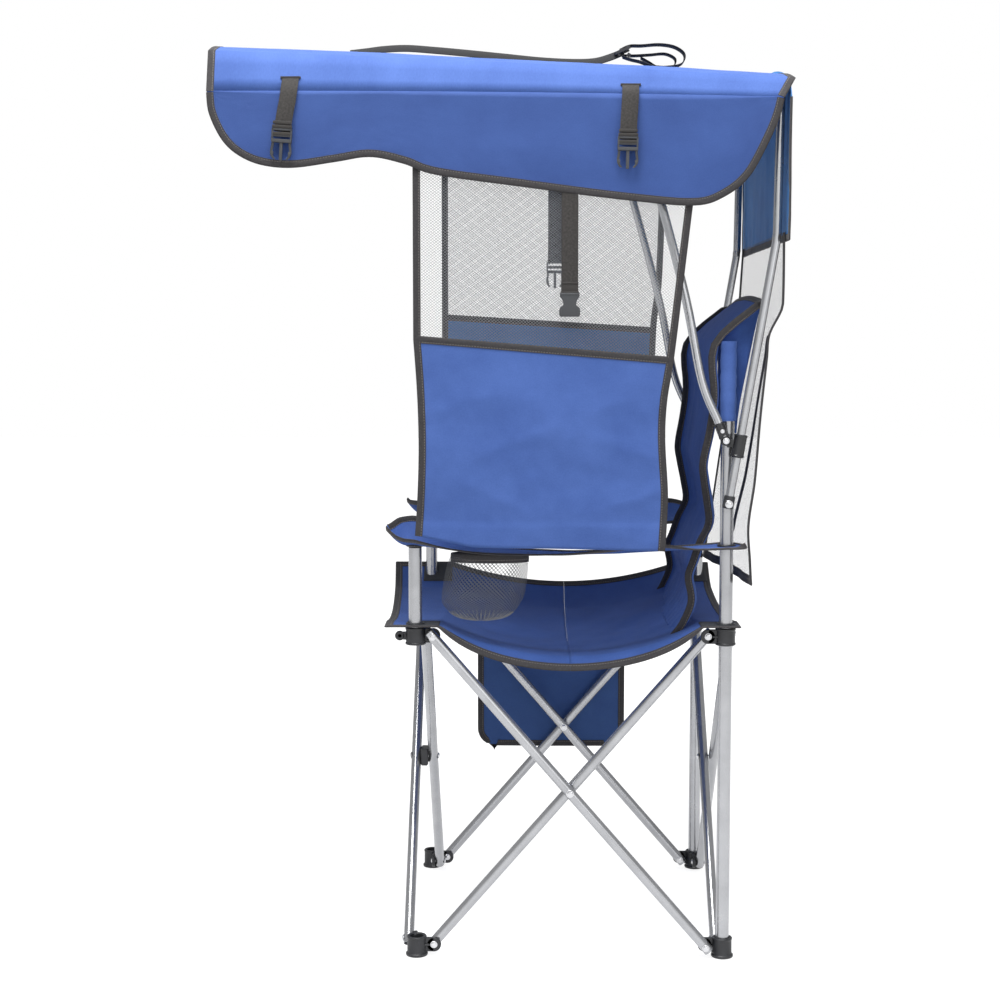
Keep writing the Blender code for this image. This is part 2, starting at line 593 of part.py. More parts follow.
def canopy_side(side_name, side):
    """One side of the canopy's frame: rear tube, front tube, their caps, clamp and rivets."""
    x = side * CANOPY_X
    knee = Vector((x, HALF + REAR_TUBE_KNEE_BACK, PIVOT_RIVET_HEIGHT + REAR_TUBE_KNEE_ABOVE_PIVOT))
    pivot = Vector((x, HALF, PIVOT_RIVET_HEIGHT))
    lean = (knee - pivot).normalized()
    cap_from = pivot - lean * ELBOW_RADIUS
    tube_from = pivot + lean * (HEAD_RADIUS + GAP)
    top_y = ROOF_REAR - REAR_TUBE_TOP_INSET
    top = Vector((x, top_y, roof_height(CANOPY_X + CANOPY_TUBE_RADIUS, top_y) - CLOTH - GAP))
    rise = (top - knee).normalized()
    blend = REAR_TUBE_KNEE_BLEND
    run = [tube_from, knee - lean * blend, knee + (rise - lean) * blend / 4, knee + rise * blend, top]
    pipe("canopy_rear_tube_" + side_name, run, CANOPY_TUBE_RADIUS, CANOPY_TUBE_WALL, "satin_steel")

    cap = keep("canopy_foot_cap_" + side_name,
               rod(cap_from, tube_from + lean * END_CAP_LENGTH / 2, END_CAP_RADIUS, 16), "black_nylon")
    cut(cap, rod(tube_from - lean * GAP, tube_from + lean * END_CAP_LENGTH, CANOPY_TUBE_RADIUS + GAP, 16))
    sideways = Vector((side, 0, 0))
    cut(cap, rod(pivot - sideways * (END_CAP_RADIUS + OVERRUN), pivot + sideways * (END_CAP_RADIUS + OVERRUN),
                 PIN_RADIUS + GAP))
    post_middle = Vector((side * HALF, HALF, PIVOT_RIVET_HEIGHT))
    inner = post_middle - sideways * (POST_RADIUS + GAP)
    outer = pivot + sideways * (END_CAP_RADIUS + GAP)
    inner_end, outer_end = inner - sideways * HEAD_HEIGHT, outer + sideways * HEAD_HEIGHT
    rivet = keep("canopy_pivot_rivet_" + side_name, rod(inner_end, outer_end, PIN_RADIUS), "zinc_rivet")
    add(rivet, rod(inner_end, inner, HEAD_RADIUS))
    add(rivet, rod(outer, outer_end, HEAD_RADIUS))
    washer_from = post_middle + sideways * (POST_RADIUS + GAP)
    washer_to = pivot - sideways * (END_CAP_RADIUS + GAP)
    add(rivet, rod(washer_from, washer_to, HEAD_RADIUS))

    share = (CLAMP_HEIGHT - pivot.z) / (knee.z - pivot.z)
    clamp_middle = pivot.lerp(knee, share)
    clamp = keep("canopy_clamp_" + side_name,
                 rod(clamp_middle - lean * CLAMP_LENGTH / 2, clamp_middle + lean * CLAMP_LENGTH / 2,
                     CLAMP_RADIUS, 20), "black_nylon")
    elbow = clamp_middle + Vector((0, -ELBOW_FORWARD, ELBOW_LIFT))
    half_lug = LUG_THICKNESS / 2
    add(clamp, block((x - half_lug, elbow.y, elbow.z - ELBOW_RADIUS),
                     (x + half_lug, clamp_middle.y, elbow.z + HEAD_RADIUS), 0))
    add(clamp, rod(elbow - sideways * half_lug, elbow + sideways * half_lug, ELBOW_RADIUS, 16))
    cut(clamp, rod(clamp_middle - lean * CLAMP_LENGTH, clamp_middle + lean * CLAMP_LENGTH,
                   CANOPY_TUBE_RADIUS + GAP, 16))
    cut(clamp, rod(elbow - sideways * CLAMP_RADIUS, elbow + sideways * CLAMP_RADIUS, PIN_RADIUS + GAP))

    climb_height = ROOF_EDGE_HEIGHT - CLAMP_HEIGHT
    bends = [Vector((x, HALF - forward * FRONT_TUBE_REACH, CLAMP_HEIGHT + up * climb_height))
             for forward, up in FRONT_TUBE_BEND_SHARES]
    climb = (bends[0] - elbow).normalized()
    tube_start = elbow + climb * (ELBOW_RADIUS + GAP)
    shoulder_y = bends[-1].y - FRONT_TUBE_SHOULDER
    tip_y = ROOF_FRONT + FRONT_TUBE_TIP_INSET
    shoulder = Vector((x, shoulder_y, under_roof(shoulder_y) - FRONT_TUBE_SHOULDER_DROP))
    roof_run = [shoulder_y + (tip_y - shoulder_y) * share for share in FRONT_TUBE_ROOF_SHARES]
    run = rounded([tube_start + climb * END_CAP_LENGTH, *bends, shoulder,
                   *(Vector((x, y, under_roof(y))) for y in roof_run)])
    pipe("canopy_front_tube_" + side_name, [tube_start, *run], CANOPY_TUBE_RADIUS, CANOPY_TUBE_WALL,
         "satin_steel")
    fork = keep("canopy_elbow_" + side_name,
                rod(elbow - climb * ELBOW_RADIUS, tube_start + climb * END_CAP_LENGTH / 2,
                    END_CAP_RADIUS, 16), "black_nylon")
    cut(fork, rod(tube_start - climb * GAP, tube_start + climb * END_CAP_LENGTH,
                  CANOPY_TUBE_RADIUS + GAP, 16))
    slot_half = half_lug + GAP
    cut(fork, block((x - slot_half, elbow.y - CLAMP_LENGTH, elbow.z - CLAMP_LENGTH),
                    (x + slot_half, elbow.y + CLAMP_LENGTH, tube_start.z + GAP), 0))
    cut(fork, rod(elbow - sideways * CLAMP_RADIUS, elbow + sideways * CLAMP_RADIUS, PIN_RADIUS + GAP))
    under_head = sideways * (END_CAP_RADIUS + GAP)
    over_head = sideways * (END_CAP_RADIUS + GAP + HEAD_HEIGHT)
    pin_bar = rod(elbow - over_head, elbow + over_head, PIN_RADIUS)
    pin = keep("elbow_rivet_" + side_name, pin_bar, "zinc_rivet")
    for end in (-1, 1):
        add(pin, rod(elbow + end * under_head, elbow + end * over_head, HEAD_RADIUS))


for side_name, side in SIDES.items():
    canopy_side(side_name, side)


# Seat

def seat_height(x, y):
    """The seat cloth's height: level at the corners, sagging between them."""
    level_from = PIVOT - LEG_END
    u = min(abs(x) / level_from, 1.0)
    v = min(abs(y) / level_from, 1.0)
    return SEAT_HEIGHT - SEAT_SIDE_SAG * (1 - v ** 2) - SEAT_CROSS_SAG * (1 - u ** 2)


def seat_panel(name, y_from, y_to):
    """Half of the seat, front or rear, with a hole for each post that stands through it."""
    half_width = HALF + SEAT_SIDE_FLAP

    def surface(u, v):
        x, y = u * half_width, y_from + (y_to - y_from) * v
        return x, y, seat_height(x, y)

    made = sheet(name, surface, 10, 8, "blue_cloth")
    post_y = math.copysign(HALF, y_from + y_to)
    for side in SIDES.values():
        x = side * HALF
        cut(made, rod((x, post_y, SEAT_HEIGHT - CLAMP_LENGTH), (x, post_y, SEAT_HEIGHT + CLAMP_LENGTH),
                      POST_RADIUS + GAP, 16))


seat_panel("seat_front_panel", -HALF - SEAT_FRONT_FLAP, -GAP / 2)
seat_panel("seat_rear_panel", GAP / 2, HALF + SEAT_REAR_FLAP)

# Backrest
BACK_SLEEVE_FRONT = HALF - SLEEVE_RADIUS - GAP - CLOTH / 2
BACK_EDGE = HALF + CLOTH * 3
BACK_LINE = (
    # (height, Y) of the back cloth from the seat up
    (SEAT_HEIGHT - SEAT_CROSS_SAG, HALF - BACK_TUCK),
    (SEAT_HEIGHT + CLOTH * 2, HALF - BACK_CREASE),
    (SEAT_HEIGHT + BACK_HEM, BACK_HEM_FORWARD),
    (SEAT_HEIGHT + BACK_LOWER_EDGE, BACK_FORWARD),
    (SLEEVE_BOTTOM - BACK_HEM, BACK_FORWARD),
    (SLEEVE_BOTTOM, BACK_SLEEVE_FRONT),
    (BACK_POST_TOP + GAP * 4, BACK_SLEEVE_FRONT),
    (BACK_TOP, BACK_TOP_REAR),
)
BACK_WIDTHS = (
    (SEAT_HEIGHT + BACK_LOWER_EDGE, BACK_LOWER_HALF_WIDTH),
    (SLEEVE_BOTTOM - BACK_HEM, BACK_EDGE),
    (BACK_TOP, BACK_EDGE),
)


def back_surface(u, v):
    """The back cloth, with rows of points at each height of its line."""
    steps = len(BACK_LINE) - 1
    step = min(int(v * steps + GAP), steps - 1)
    share = v * steps - step
    (low, low_y), (high, high_y) = BACK_LINE[step], BACK_LINE[step + 1]
    at = low + (high - low) * share
    half_width = BACK_WIDTHS[0][1] if at <= BACK_WIDTHS[0][0] else blend_values(BACK_WIDTHS, at)
    lift = BACK_TOP_ARCH * (1 - u ** 2) * v ** steps
    return u * half_width, low_y + (high_y - low_y) * share, at + lift


sheet("backrest", back_surface, 10, (len(BACK_LINE) - 1) * BACK_ROWS_A_STEP, "blue_cloth")
for side_name, side in SIDES.items():
    pipe("back_sleeve_" + side_name, [(side * HALF, HALF, SLEEVE_BOTTOM), (side * HALF, HALF, BACK_POST_TOP)],
         SLEEVE_RADIUS, SLEEVE_WALL, "blue_cloth")


# Arms, cup holder and pocket

def armrest(side_name, side):
    """A cloth arm from the arm post to the grommet round the back post, with a turned-up tip."""
    front, rear = -HALF - ARM_FRONT_REACH, HALF + ARM_REAR_REACH

    def surface(u, v):
        y = front + (rear - front) * v
        run = min(abs(y) / HALF, 1.0)
        tip = max(0.0, (-HALF - POST_RADIUS - y) / ARM_FRONT_REACH)
        width = ARM_WIDTH / 2 * (1 - ARM_TIP_NARROWING_SHARE * tip ** 2)
        height = ARM_HEIGHT + CLOTH - ARM_SAG * (1 - run ** 2) + ARM_TIP_LIFT * tip ** 2
        return side * (HALF + u * width), y, height

    made = sheet("armrest_" + side_name, surface, 4, 18, "blue_cloth")
    x = side * HALF
    cut(made, rod((x, HALF, ARM_HEIGHT - CLAMP_LENGTH), (x, HALF, ARM_HEIGHT + CLAMP_LENGTH),
                  POST_RADIUS + GAP, 16))


for side_name, side in SIDES.items():
    armrest(side_name, side)


def cup_holder():
    """The open net cup hung under the left arm: a rounded tray with walls and a floor."""
    front = -HALF + CUP_FROM_POST
    middle = front + CUP_LENGTH / 2
    lowest_arm = ARM_HEIGHT + CLOTH - ARM_SAG * (1 - ((front + CUP_LENGTH) / HALF) ** 2)
    top = lowest_arm - CLOTH / 2 - GAP
    bm = bmesh.new()
    sides = 16
    last = None
    for depth_share, size_share in CUP_RING_SHARES:
        ring = []
        for i in range(sides):
            turn = 2 * math.pi * i / sides
            y = middle + math.cos(turn) * CUP_LENGTH / 2 * size_share
            x = HALF + math.sin(turn) * CUP_WIDTH / 2 * size_share
            ring.append(bm.verts.new((x, y, top - CUP_DEPTH * depth_share)))
        if last:
            for i in range(sides):
                k = (i + 1) % sides
                bm.faces.new((last[i], ring[i], ring[k], last[k]))
        last = ring
    bm.faces.new(last)
    bmesh.ops.recalc_face_normals(bm, faces=bm.faces)
    mesh = bpy.data.meshes.new("cup_holder")
    bm.to_mesh(mesh)
    bm.free()
    made = keep("cup_holder", smooth(mesh), "black_mesh")
    shell = made.modifiers.new("wall", "SOLIDIFY")
    shell.thickness = CUP_WALL
    shell.offset = 0


cup_holder()


def rounded_corners(low, high, radius, steps=4):
    """A rectangle of (Y, Z) points whose two lower corners are round."""
    (y0, z0), (y1, z1) = low, high
    ring = [(y0, z1), (y0, z0 + radius)]
    for k in range(1, steps + 1):
        turn = math.pi / 2 * k / steps
        ring.append((y0 + radius * (1 - math.cos(turn)), z0 + radius * (1 - math.sin(turn))))
    for k in range(steps + 1):
        turn = math.pi / 2 * k / steps
        ring.append((y1 - radius * (1 - math.sin(turn)), z0 + radius * (1 - math.cos(turn))))
    ring.append((y1, z1))
    return ring


POCKET_X = -HALF - LEG_OFFSET - LEG_RADIUS - HEAD_HEIGHT - GAP * 3 - POCKET_THICKNESS / 2
plate("side_pocket", rounded_corners((POCKET_CENTRE - POCKET_WIDTH / 2, POCKET_BOTTOM),
                                     (POCKET_CENTRE + POCKET_WIDTH / 2, POCKET_BOTTOM + POCKET_HEIGHT),
                                     POCKET_CORNER), POCKET_X, "navy_cloth", POCKET_THICKNESS)


# Roof and its valances

def roof_surface(u, v):
    x, y = u * ROOF_HALF_WIDTH, ROOF_FRONT + (ROOF_REAR - ROOF_FRONT) * v
    return x, y, roof_height(x, y)


ROOF_COLUMNS = round(2 / ROOF_SLOPE_SHARE)
sheet("roof", roof_surface, ROOF_COLUMNS, 6, "blue_cloth")
VALANCE_FRONT_TOP = ROOF_EDGE_HEIGHT - CLOTH
VALANCE_TOP = ROOF_EDGE_HEIGHT - ROOF_EDGE_DROP - CLOTH


def valance_line(drop):
    """Outline of a side valance: the roof's edge above and its own wavy edge below."""
    lower = [(ROOF_FRONT + place * (ROOF_REAR - ROOF_FRONT), ROOF_EDGE_HEIGHT - share * drop)
             for place, share in VALANCE_EDGE_SHARES]
    return [(ROOF_FRONT, VALANCE_FRONT_TOP), *lower, (ROOF_REAR, VALANCE_TOP),
            ((ROOF_FRONT + ROOF_REAR) / 2, VALANCE_FRONT_TOP - ROOF_EDGE_DROP / 4)]


plate("valance_left", valance_line(VALANCE_DROP_LEFT), ROOF_HALF_WIDTH, "blue_cloth")
plate("valance_right", valance_line(VALANCE_DROP_RIGHT), -ROOF_HALF_WIDTH, "blue_cloth")


def rear_valance(u, v):
    half_width = ROOF_HALF_WIDTH - CLOTH
    x = u * half_width
    top = roof_height(x, ROOF_REAR) - CLOTH
    return x, ROOF_REAR - CLOTH / 2 - GAP, REAR_VALANCE_BOTTOM + (top - REAR_VALANCE_BOTTOM) * v


sheet("valance_rear", rear_valance, ROOF_COLUMNS, 3, "navy_cloth")


def rear_net(u, v):
    at = REAR_NET_BOTTOM + (REAR_VALANCE_BOTTOM - GAP - REAR_NET_BOTTOM) * v
    line = ROOF_REAR - CLOTH / 2 - GAP - REAR_NET_INSET * (1 - blend_values(REAR_NET_SHARES, v))
    belly = (1 - u ** 2) * REAR_NET_BELLY * math.sin(math.pi * v)
    return u * REAR_NET_HALF_WIDTH, line + belly, at


sheet("rear_net", rear_net, 6, 12, "black_mesh")


def side_panel(side_name, side, top):
    """The drop panel inside a valance: a blue apron below, a net window above, one flat piece."""
    outline = [(SIDE_PANEL_FRONT, top), (SIDE_PANEL_FRONT + BINDING / 2, WINDOW_BOTTOM),
               (SIDE_PANEL_FRONT, SIDE_PANEL_BOTTOM + BINDING / 2), (0, SIDE_PANEL_BOTTOM - BINDING / 2),
               (SIDE_PANEL_REAR, SIDE_PANEL_BOTTOM - BINDING), (SIDE_PANEL_REAR, WINDOW_BOTTOM - BINDING),
               (SIDE_PANEL_REAR + BINDING * 2, top)]
    left, right = SIDE_PANEL_FRONT + BINDING * 1.5, SIDE_PANEL_REAR - BINDING * 1.5
    holes = []
    step_y = (right - left) / WINDOW_COLUMNS
    step_z = (WINDOW_TOP - WINDOW_BOTTOM - BINDING) / WINDOW_ROWS
    for i in range(WINDOW_COLUMNS):
        for k in range(WINDOW_ROWS):
            y0, z0 = left + i * step_y, WINDOW_BOTTOM + BINDING + k * step_z
            y1, z1 = y0 + step_y - WINDOW_THREAD, z0 + step_z - WINDOW_THREAD
            holes.append([(y0, z0), (y1, z0), (y1, z1), (y0, z1)])
    plate("side_panel_" + side_name, outline, side * PANEL_X, "blue_cloth", CLOTH, holes)


side_panel("left", 1, SIDE_PANEL_TOP_LEFT)
side_panel("right", -1, SIDE_PANEL_TOP_RIGHT)


# Straps

def strap(name, side, y, top, length):
    """A webbing strap hanging against a valance, ending in its flat buckle."""
    x = side * (ROOF_HALF_WIDTH + CLOTH / 2 + GAP)
    bottom = top - length
    out = side * (STRAP_THICKNESS / 2)
    made = keep(name, block((x + out - STRAP_THICKNESS / 2, y - STRAP_WIDTH / 2, bottom),
                            (x + out + STRAP_THICKNESS / 2, y + STRAP_WIDTH / 2, top)), "black_webbing")
    buckle_x = (x, x + side * BUCKLE_THICKNESS)
    add(made, block((min(buckle_x), y - BUCKLE_WIDTH / 2, bottom - BUCKLE_LENGTH),
                    (max(buckle_x), y + BUCKLE_WIDTH / 2, bottom + STRAP_WIDTH / 4), STRAP_THICKNESS))
    return made


strap("tie_strap_front_left", 1, FRONT_TIE_PLACE, VALANCE_TOP, FRONT_TIE_LENGTH)
strap("tie_strap_rear_left", 1, REAR_TIE_PLACE, VALANCE_TOP, REAR_TIE_LENGTH)
strap("centre_strap_left", 1, LEFT_CENTRE_STRAP_PLACE, LEFT_CENTRE_STRAP_TOP, LEFT_CENTRE_STRAP_LENGTH)
strap("centre_strap_right", -1, RIGHT_CENTRE_STRAP_PLACE, VALANCE_TOP, RIGHT_CENTRE_STRAP_LENGTH)


def shoulder_strap():
    """The carrying strap laid along the roof's crown."""

    def surface(u, v):
        y = SHOULDER_STRAP_FRONT + (SHOULDER_STRAP_REAR - SHOULDER_STRAP_FRONT) * v
        x = STRAP_WIDTH / 2 * u
        return x, y, roof_height(0, y) + CLOTH / 2 + GAP + STRAP_THICKNESS / 2

    sheet("shoulder_strap", surface, 1, 12, "black_webbing", STRAP_THICKNESS)


shoulder_strap()


# The origin: under the middle of the whole chair
def settle():
    """Moves everything so that the origin is at the middle of the bounding box's floor face."""
    bpy.context.view_layer.update()
    shift = -(ROOF_FRONT + ROOF_REAR) / 2
    carrier = bpy.data.objects.new("chair_origin", None)
    CHAIR.objects.link(carrier)
    carrier.location = (0, shift, 0)
    for made in [*CHAIR.objects, *CUTTERS.objects]:
        if made is not carrier:
            made.parent = carrier


settle()
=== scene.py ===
# %% [markdown]
# # A folding camping chair with a canopy
# The chair is steel tube, moulded nylon joints and woven polyester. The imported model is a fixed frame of
# plain solids. This file dresses it: each cell makes one kind of piece and says why it is made that way.

# %% Load the frame
import math

import bmesh
import bpy
from mathutils import Matrix, Vector, noise


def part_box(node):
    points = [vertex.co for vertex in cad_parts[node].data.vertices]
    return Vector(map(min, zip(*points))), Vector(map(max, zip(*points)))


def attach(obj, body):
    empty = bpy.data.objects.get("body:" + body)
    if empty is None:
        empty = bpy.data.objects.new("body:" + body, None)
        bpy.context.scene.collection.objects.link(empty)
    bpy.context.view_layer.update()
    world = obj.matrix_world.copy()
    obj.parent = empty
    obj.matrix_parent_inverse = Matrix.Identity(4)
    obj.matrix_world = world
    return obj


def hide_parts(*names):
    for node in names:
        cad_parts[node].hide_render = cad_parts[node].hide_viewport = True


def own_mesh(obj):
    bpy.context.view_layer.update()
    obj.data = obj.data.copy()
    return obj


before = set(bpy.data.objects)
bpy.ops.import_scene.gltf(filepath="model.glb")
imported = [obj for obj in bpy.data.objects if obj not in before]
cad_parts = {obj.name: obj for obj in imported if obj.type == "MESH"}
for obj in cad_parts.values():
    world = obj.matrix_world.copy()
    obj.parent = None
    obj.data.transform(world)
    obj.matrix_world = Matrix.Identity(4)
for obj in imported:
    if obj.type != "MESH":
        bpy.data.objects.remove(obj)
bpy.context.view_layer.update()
MM = 0.001


def middle(node):
    """The middle of a frame node's box."""
    low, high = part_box(node)
    return (low + high) / 2


POST_X = middle("arm_post_left").x
FRONT_Y = middle("arm_post_left").y
REAR_Y = middle("back_post_left").y
MID_Y = (FRONT_Y + REAR_Y) / 2
HALF_SPAN = (REAR_Y - FRONT_Y) / 2
SIDES = {"left": 1, "right": -1}
print("post lines at X", round(POST_X, 4), "and Y", round(FRONT_Y, 4), round(REAR_Y, 4))

# %% [markdown]
# ## Camera
# The place and lens come from fitting the feet, leg pivots and posts of the photographed chair. A long
# lens from the sitter's left side keeps the near and far legs almost the same size.

# %% Camera
CAMERA_PLACE = Vector((2.888, 0.040, 0.932))
CAMERA_DOWN = math.radians(5.13)
CAMERA_SWING = math.radians(0.86)
CAMERA_LENS = 64.8
camera = bpy.data.objects.new("camera", bpy.data.cameras.new("camera"))
bpy.context.scene.collection.objects.link(camera)
camera.location = CAMERA_PLACE
look = Vector((-math.cos(CAMERA_SWING) * math.cos(CAMERA_DOWN), -math.sin(CAMERA_SWING) * math.cos(CAMERA_DOWN),
               -math.sin(CAMERA_DOWN)))
camera.rotation_mode = "QUATERNION"
camera.rotation_quaternion = look.to_track_quat("-Z", "Y")
camera.data.lens = CAMERA_LENS
camera.data.sensor_width = 36
camera.data.clip_start = 0.05
bpy.context.scene.camera = camera
bpy.context.scene.view_settings.view_transform = "Standard"

# %% [markdown]
# ## Floor and light
# A white room: the camera sees white, while the light that falls on the chair is set apart from it, so
# that a colour renders about as it is written. What the tubes mirror is brightest toward the chair's left
# and grey elsewhere, which draws the long stripes on them. The floor glows just enough to be white and
# still takes the chair's soft shadow.

# %% Floor and light
world = bpy.data.worlds.new("white_room")
bpy.context.scene.world = world
world.use_nodes = True
room = world.node_tree.nodes
room.clear()
seen = room.new("ShaderNodeLightPath")
seen_or_mirrored = room.new("ShaderNodeMath")
seen_or_mirrored.operation = "MAXIMUM"
seen_at_all = room.new("ShaderNodeMath")
seen_at_all.operation = "MAXIMUM"
strength = room.new("ShaderNodeMapRange")
strength.inputs["To Min"].default_value = 0.52
strength.inputs["To Max"].default_value = 1.0
toward = room.new("ShaderNodeTexCoord")
axes = room.new("ShaderNodeSeparateXYZ")
mirrored = room.new("ShaderNodeMapRange")
for name, value in (("From Min", 0.55), ("From Max", 0.97), ("To Min", 0.5), ("To Max", 1.5)):
    mirrored.inputs[name].default_value = value
either_way = room.new("ShaderNodeMix")
sky = room.new("ShaderNodeBackground")
sky.inputs["Color"].default_value = (1, 1, 1, 1)
shown = room.new("ShaderNodeOutputWorld")
for start, end in (((seen, "Is Camera Ray"), (seen_or_mirrored, 0)), ((seen, "Is Glossy Ray"), (seen_or_mirrored, 1)),
                   ((seen_or_mirrored, 0), (seen_at_all, 0)), ((seen, "Is Transmission Ray"), (seen_at_all, 1)),
                   ((seen_at_all, 0), (strength, "Value")), ((toward, "Generated"), (axes, 0)),
                   ((axes, "X"), (mirrored, "Value")), ((seen, "Is Glossy Ray"), (either_way, 0)),
                   ((strength, 0), (either_way, 2)), ((mirrored, 0), (either_way, 3)),
                   ((either_way, 0), (sky, "Strength")), ((sky, 0), (shown, "Surface"))):
    world.node_tree.links.new(start[0].outputs[start[1]], end[0].inputs[end[1]])


def softbox(name, place, aim, size, watts):
    """A square area lamp at a place, turned to an aim."""
    lamp = bpy.data.lights.new(name, "AREA")
    lamp.shape, lamp.size, lamp.energy = "SQUARE", size, watts
    made = bpy.data.objects.new(name, lamp)
    bpy.context.scene.collection.objects.link(made)
    made.location = place
    made.rotation_mode = "QUATERNION"
    made.rotation_quaternion = (Vector(aim) - Vector(place)).to_track_quat("-Z", "Y")


softbox("overhead", (1.0, -0.3, 3.7), (0, 0, 0.9), 1.8, 135)
softbox("side_fill", (2.6, 1.8, 1.6), (0, 0.1, 0.7), 1.6, 10)

# %% [markdown]
# ## Colours and nodes
# Colours are written as the sRGB hex values that a picker shows, and one function turns them to the
# linear values that shaders work in. One more adds a node with its settings and links.


# %% Colour and node helpers
def linear(hex_colour):
    """Linear RGBA from an sRGB hex value."""
    parts = [int(hex_colour[i:i + 2], 16) / 255 for i in (1, 3, 5)]
    return (*(p / 12.92 if p <= 0.04045 else ((p + 0.055) / 1.055) ** 2.4 for p in parts), 1.0)


def add_node(material, kind, inputs=None, **settings):
    """Adds a node. inputs maps a socket to a value or to another node's output."""
    made = material.node_tree.nodes.new(kind)
    for name, value in settings.items():
        setattr(made, name, value)
    for socket, value in (inputs or {}).items():
        if isinstance(value, bpy.types.NodeSocket):
            material.node_tree.links.new(value, made.inputs[socket])
        else:
            made.inputs[socket].default_value = value
    return made


def started_material(name):
    """An empty node material and its output node."""
    made = bpy.data.materials.new(name)
    made.use_nodes = True
    made.node_tree.nodes.clear()
    return made


def closed_material(made, shader):
    """Ends a material with its shader."""
    add_node(made, "ShaderNodeOutputMaterial", {"Surface": shader.outputs[0]})
    return made


def ramp_between(made, factor, low, high, first, second):
    """A colour that goes from first to second as factor goes from low to high."""
    share = add_node(made, "ShaderNodeMapRange", {"Value": factor, "From Min": low, "From Max": high})
    return add_node(made, "ShaderNodeMix", {"Factor": share.outputs[0], 6: first, 7: second},
                    data_type="RGBA").outputs[2]


def wave_of(made, distance, pitch):
    """A sine along a distance in metres that repeats every pitch metres."""
    turns = add_node(made, "ShaderNodeMath", {0: distance, 1: 2 * math.pi / pitch}, operation="MULTIPLY")
    return add_node(made, "ShaderNodeMath", {0: turns.outputs[0]}, operation="SINE").outputs[0]


# %% [markdown]
# ## Woven polyester
# The cloth is 600 denier oxford: thick yarns in a plain weave, dyed royal blue, with a polymer coat on
# the back that makes it duller and greener. The real yarns are 0.5 mm apart, which is finer than a pixel,
# so they are drawn 1.4 mm apart. Each sheet stores its own metres across and along in an attribute, so the
# weave follows the cloth round every curve and needs no UV map. The coated back is also drawn lighter than
# it is: painted light for the shade it lies in inside the canopy.


# %% Cloth materials
def woven_cloth(name, yarn, shade, pitch=1.4 * MM, contrast=0.10, roughness=0.78, sheen=0.22, bump=0.35):
    """A plain weave with slow dye variation and fine slubs."""
    made = started_material(name)
    place = add_node(made, "ShaderNodeAttribute", attribute_name="cloth")
    split = add_node(made, "ShaderNodeSeparateXYZ", {0: place.outputs["Vector"]})
    warp, weft = wave_of(made, split.outputs[0], pitch), wave_of(made, split.outputs[1], pitch)
    weave = add_node(made, "ShaderNodeMath", {0: warp, 1: weft}, operation="MULTIPLY").outputs[0]
    clouds = add_node(made, "ShaderNodeTexNoise", {"Vector": place.outputs["Vector"], "Scale": 9.0, "Detail": 4.0,
                                                   "Roughness": 0.6})
    slubs = add_node(made, "ShaderNodeTexNoise", {"Vector": place.outputs["Vector"], "Scale": 420.0,
                                                  "Detail": 2.0})
    mottled = add_node(made, "ShaderNodeMath", {0: weave, 1: contrast, 2: clouds.outputs["Fac"]},
                       operation="MULTIPLY_ADD")
    grained = add_node(made, "ShaderNodeMath", {0: slubs.outputs["Fac"], 1: 0.35, 2: mottled.outputs[0]},
                       operation="MULTIPLY_ADD")
    colour = ramp_between(made, grained.outputs[0], 0.35, 1.0, linear(shade), linear(yarn))
    relief = add_node(made, "ShaderNodeMath", {0: slubs.outputs["Fac"], 1: 0.8, 2: weave}, operation="MULTIPLY_ADD")
    fine = add_node(made, "ShaderNodeBump", {"Strength": bump, "Distance": 0.25 * MM, "Height": relief.outputs[0]})
    creases = add_node(made, "ShaderNodeTexNoise", {"Vector": place.outputs["Vector"], "Scale": 14.0,
                                                    "Detail": 3.0, "Distortion": 0.8})
    soft = add_node(made, "ShaderNodeBump", {"Strength": 0.25, "Distance": 4 * MM, "Height": creases.outputs["Fac"],
                                             "Normal": fine.outputs[0]})
    shader = add_node(made, "ShaderNodeBsdfPrincipled", {
        "Base Color": colour, "Roughness": roughness, "Normal": soft.outputs[0], "Sheen Weight": sheen,
        "Sheen Roughness": 0.45, "Sheen Tint": linear("#9DB8F0"), "IOR": 1.5})
    return closed_material(made, shader)


OXFORD = woven_cloth("oxford_polyester_royal_blue", "#5577C4", "#3D5DA6")
# The seat cloth is the same royal blue drawn darker: painted shade for the seat, back and arm cloth that lie under the
# canopy.
SHADED_SEAT_OXFORD = woven_cloth("oxford_polyester_seat", "#4467B4", "#2E4E92", roughness=0.82, sheen=0.12)
# The valance cloth is the same royal blue drawn darker: painted shade for side valances that lean in and face a little
# downward.
SHADED_VALANCE_OXFORD = woven_cloth("oxford_polyester_valance_painted_shade", "#3F5FA6", "#2D4A8C", sheen=0.12)
# The coated back is greener than the face, and its colour is lifted with painted light to make up for the shade inside
# the canopy, where it faces.
COATED_BACK_WITH_PAINTED_LIGHT = woven_cloth("coated_back_of_oxford_painted_light", "#3F8AD0", "#2A68A8", contrast=0.04, roughness=0.6, sheen=0.05)
POCKET_OXFORD = woven_cloth("oxford_polyester_pocket", "#40639F", "#2F4E88", sheen=0.08)

# %% [markdown]
# ## Binding tape, webbing and net
# Raw cloth edges are closed with a folded polyester tape, sewn with one row of stitches near its inner
# edge. Webbing is a coarser ribbed weave. The net is knitted polyester thread.


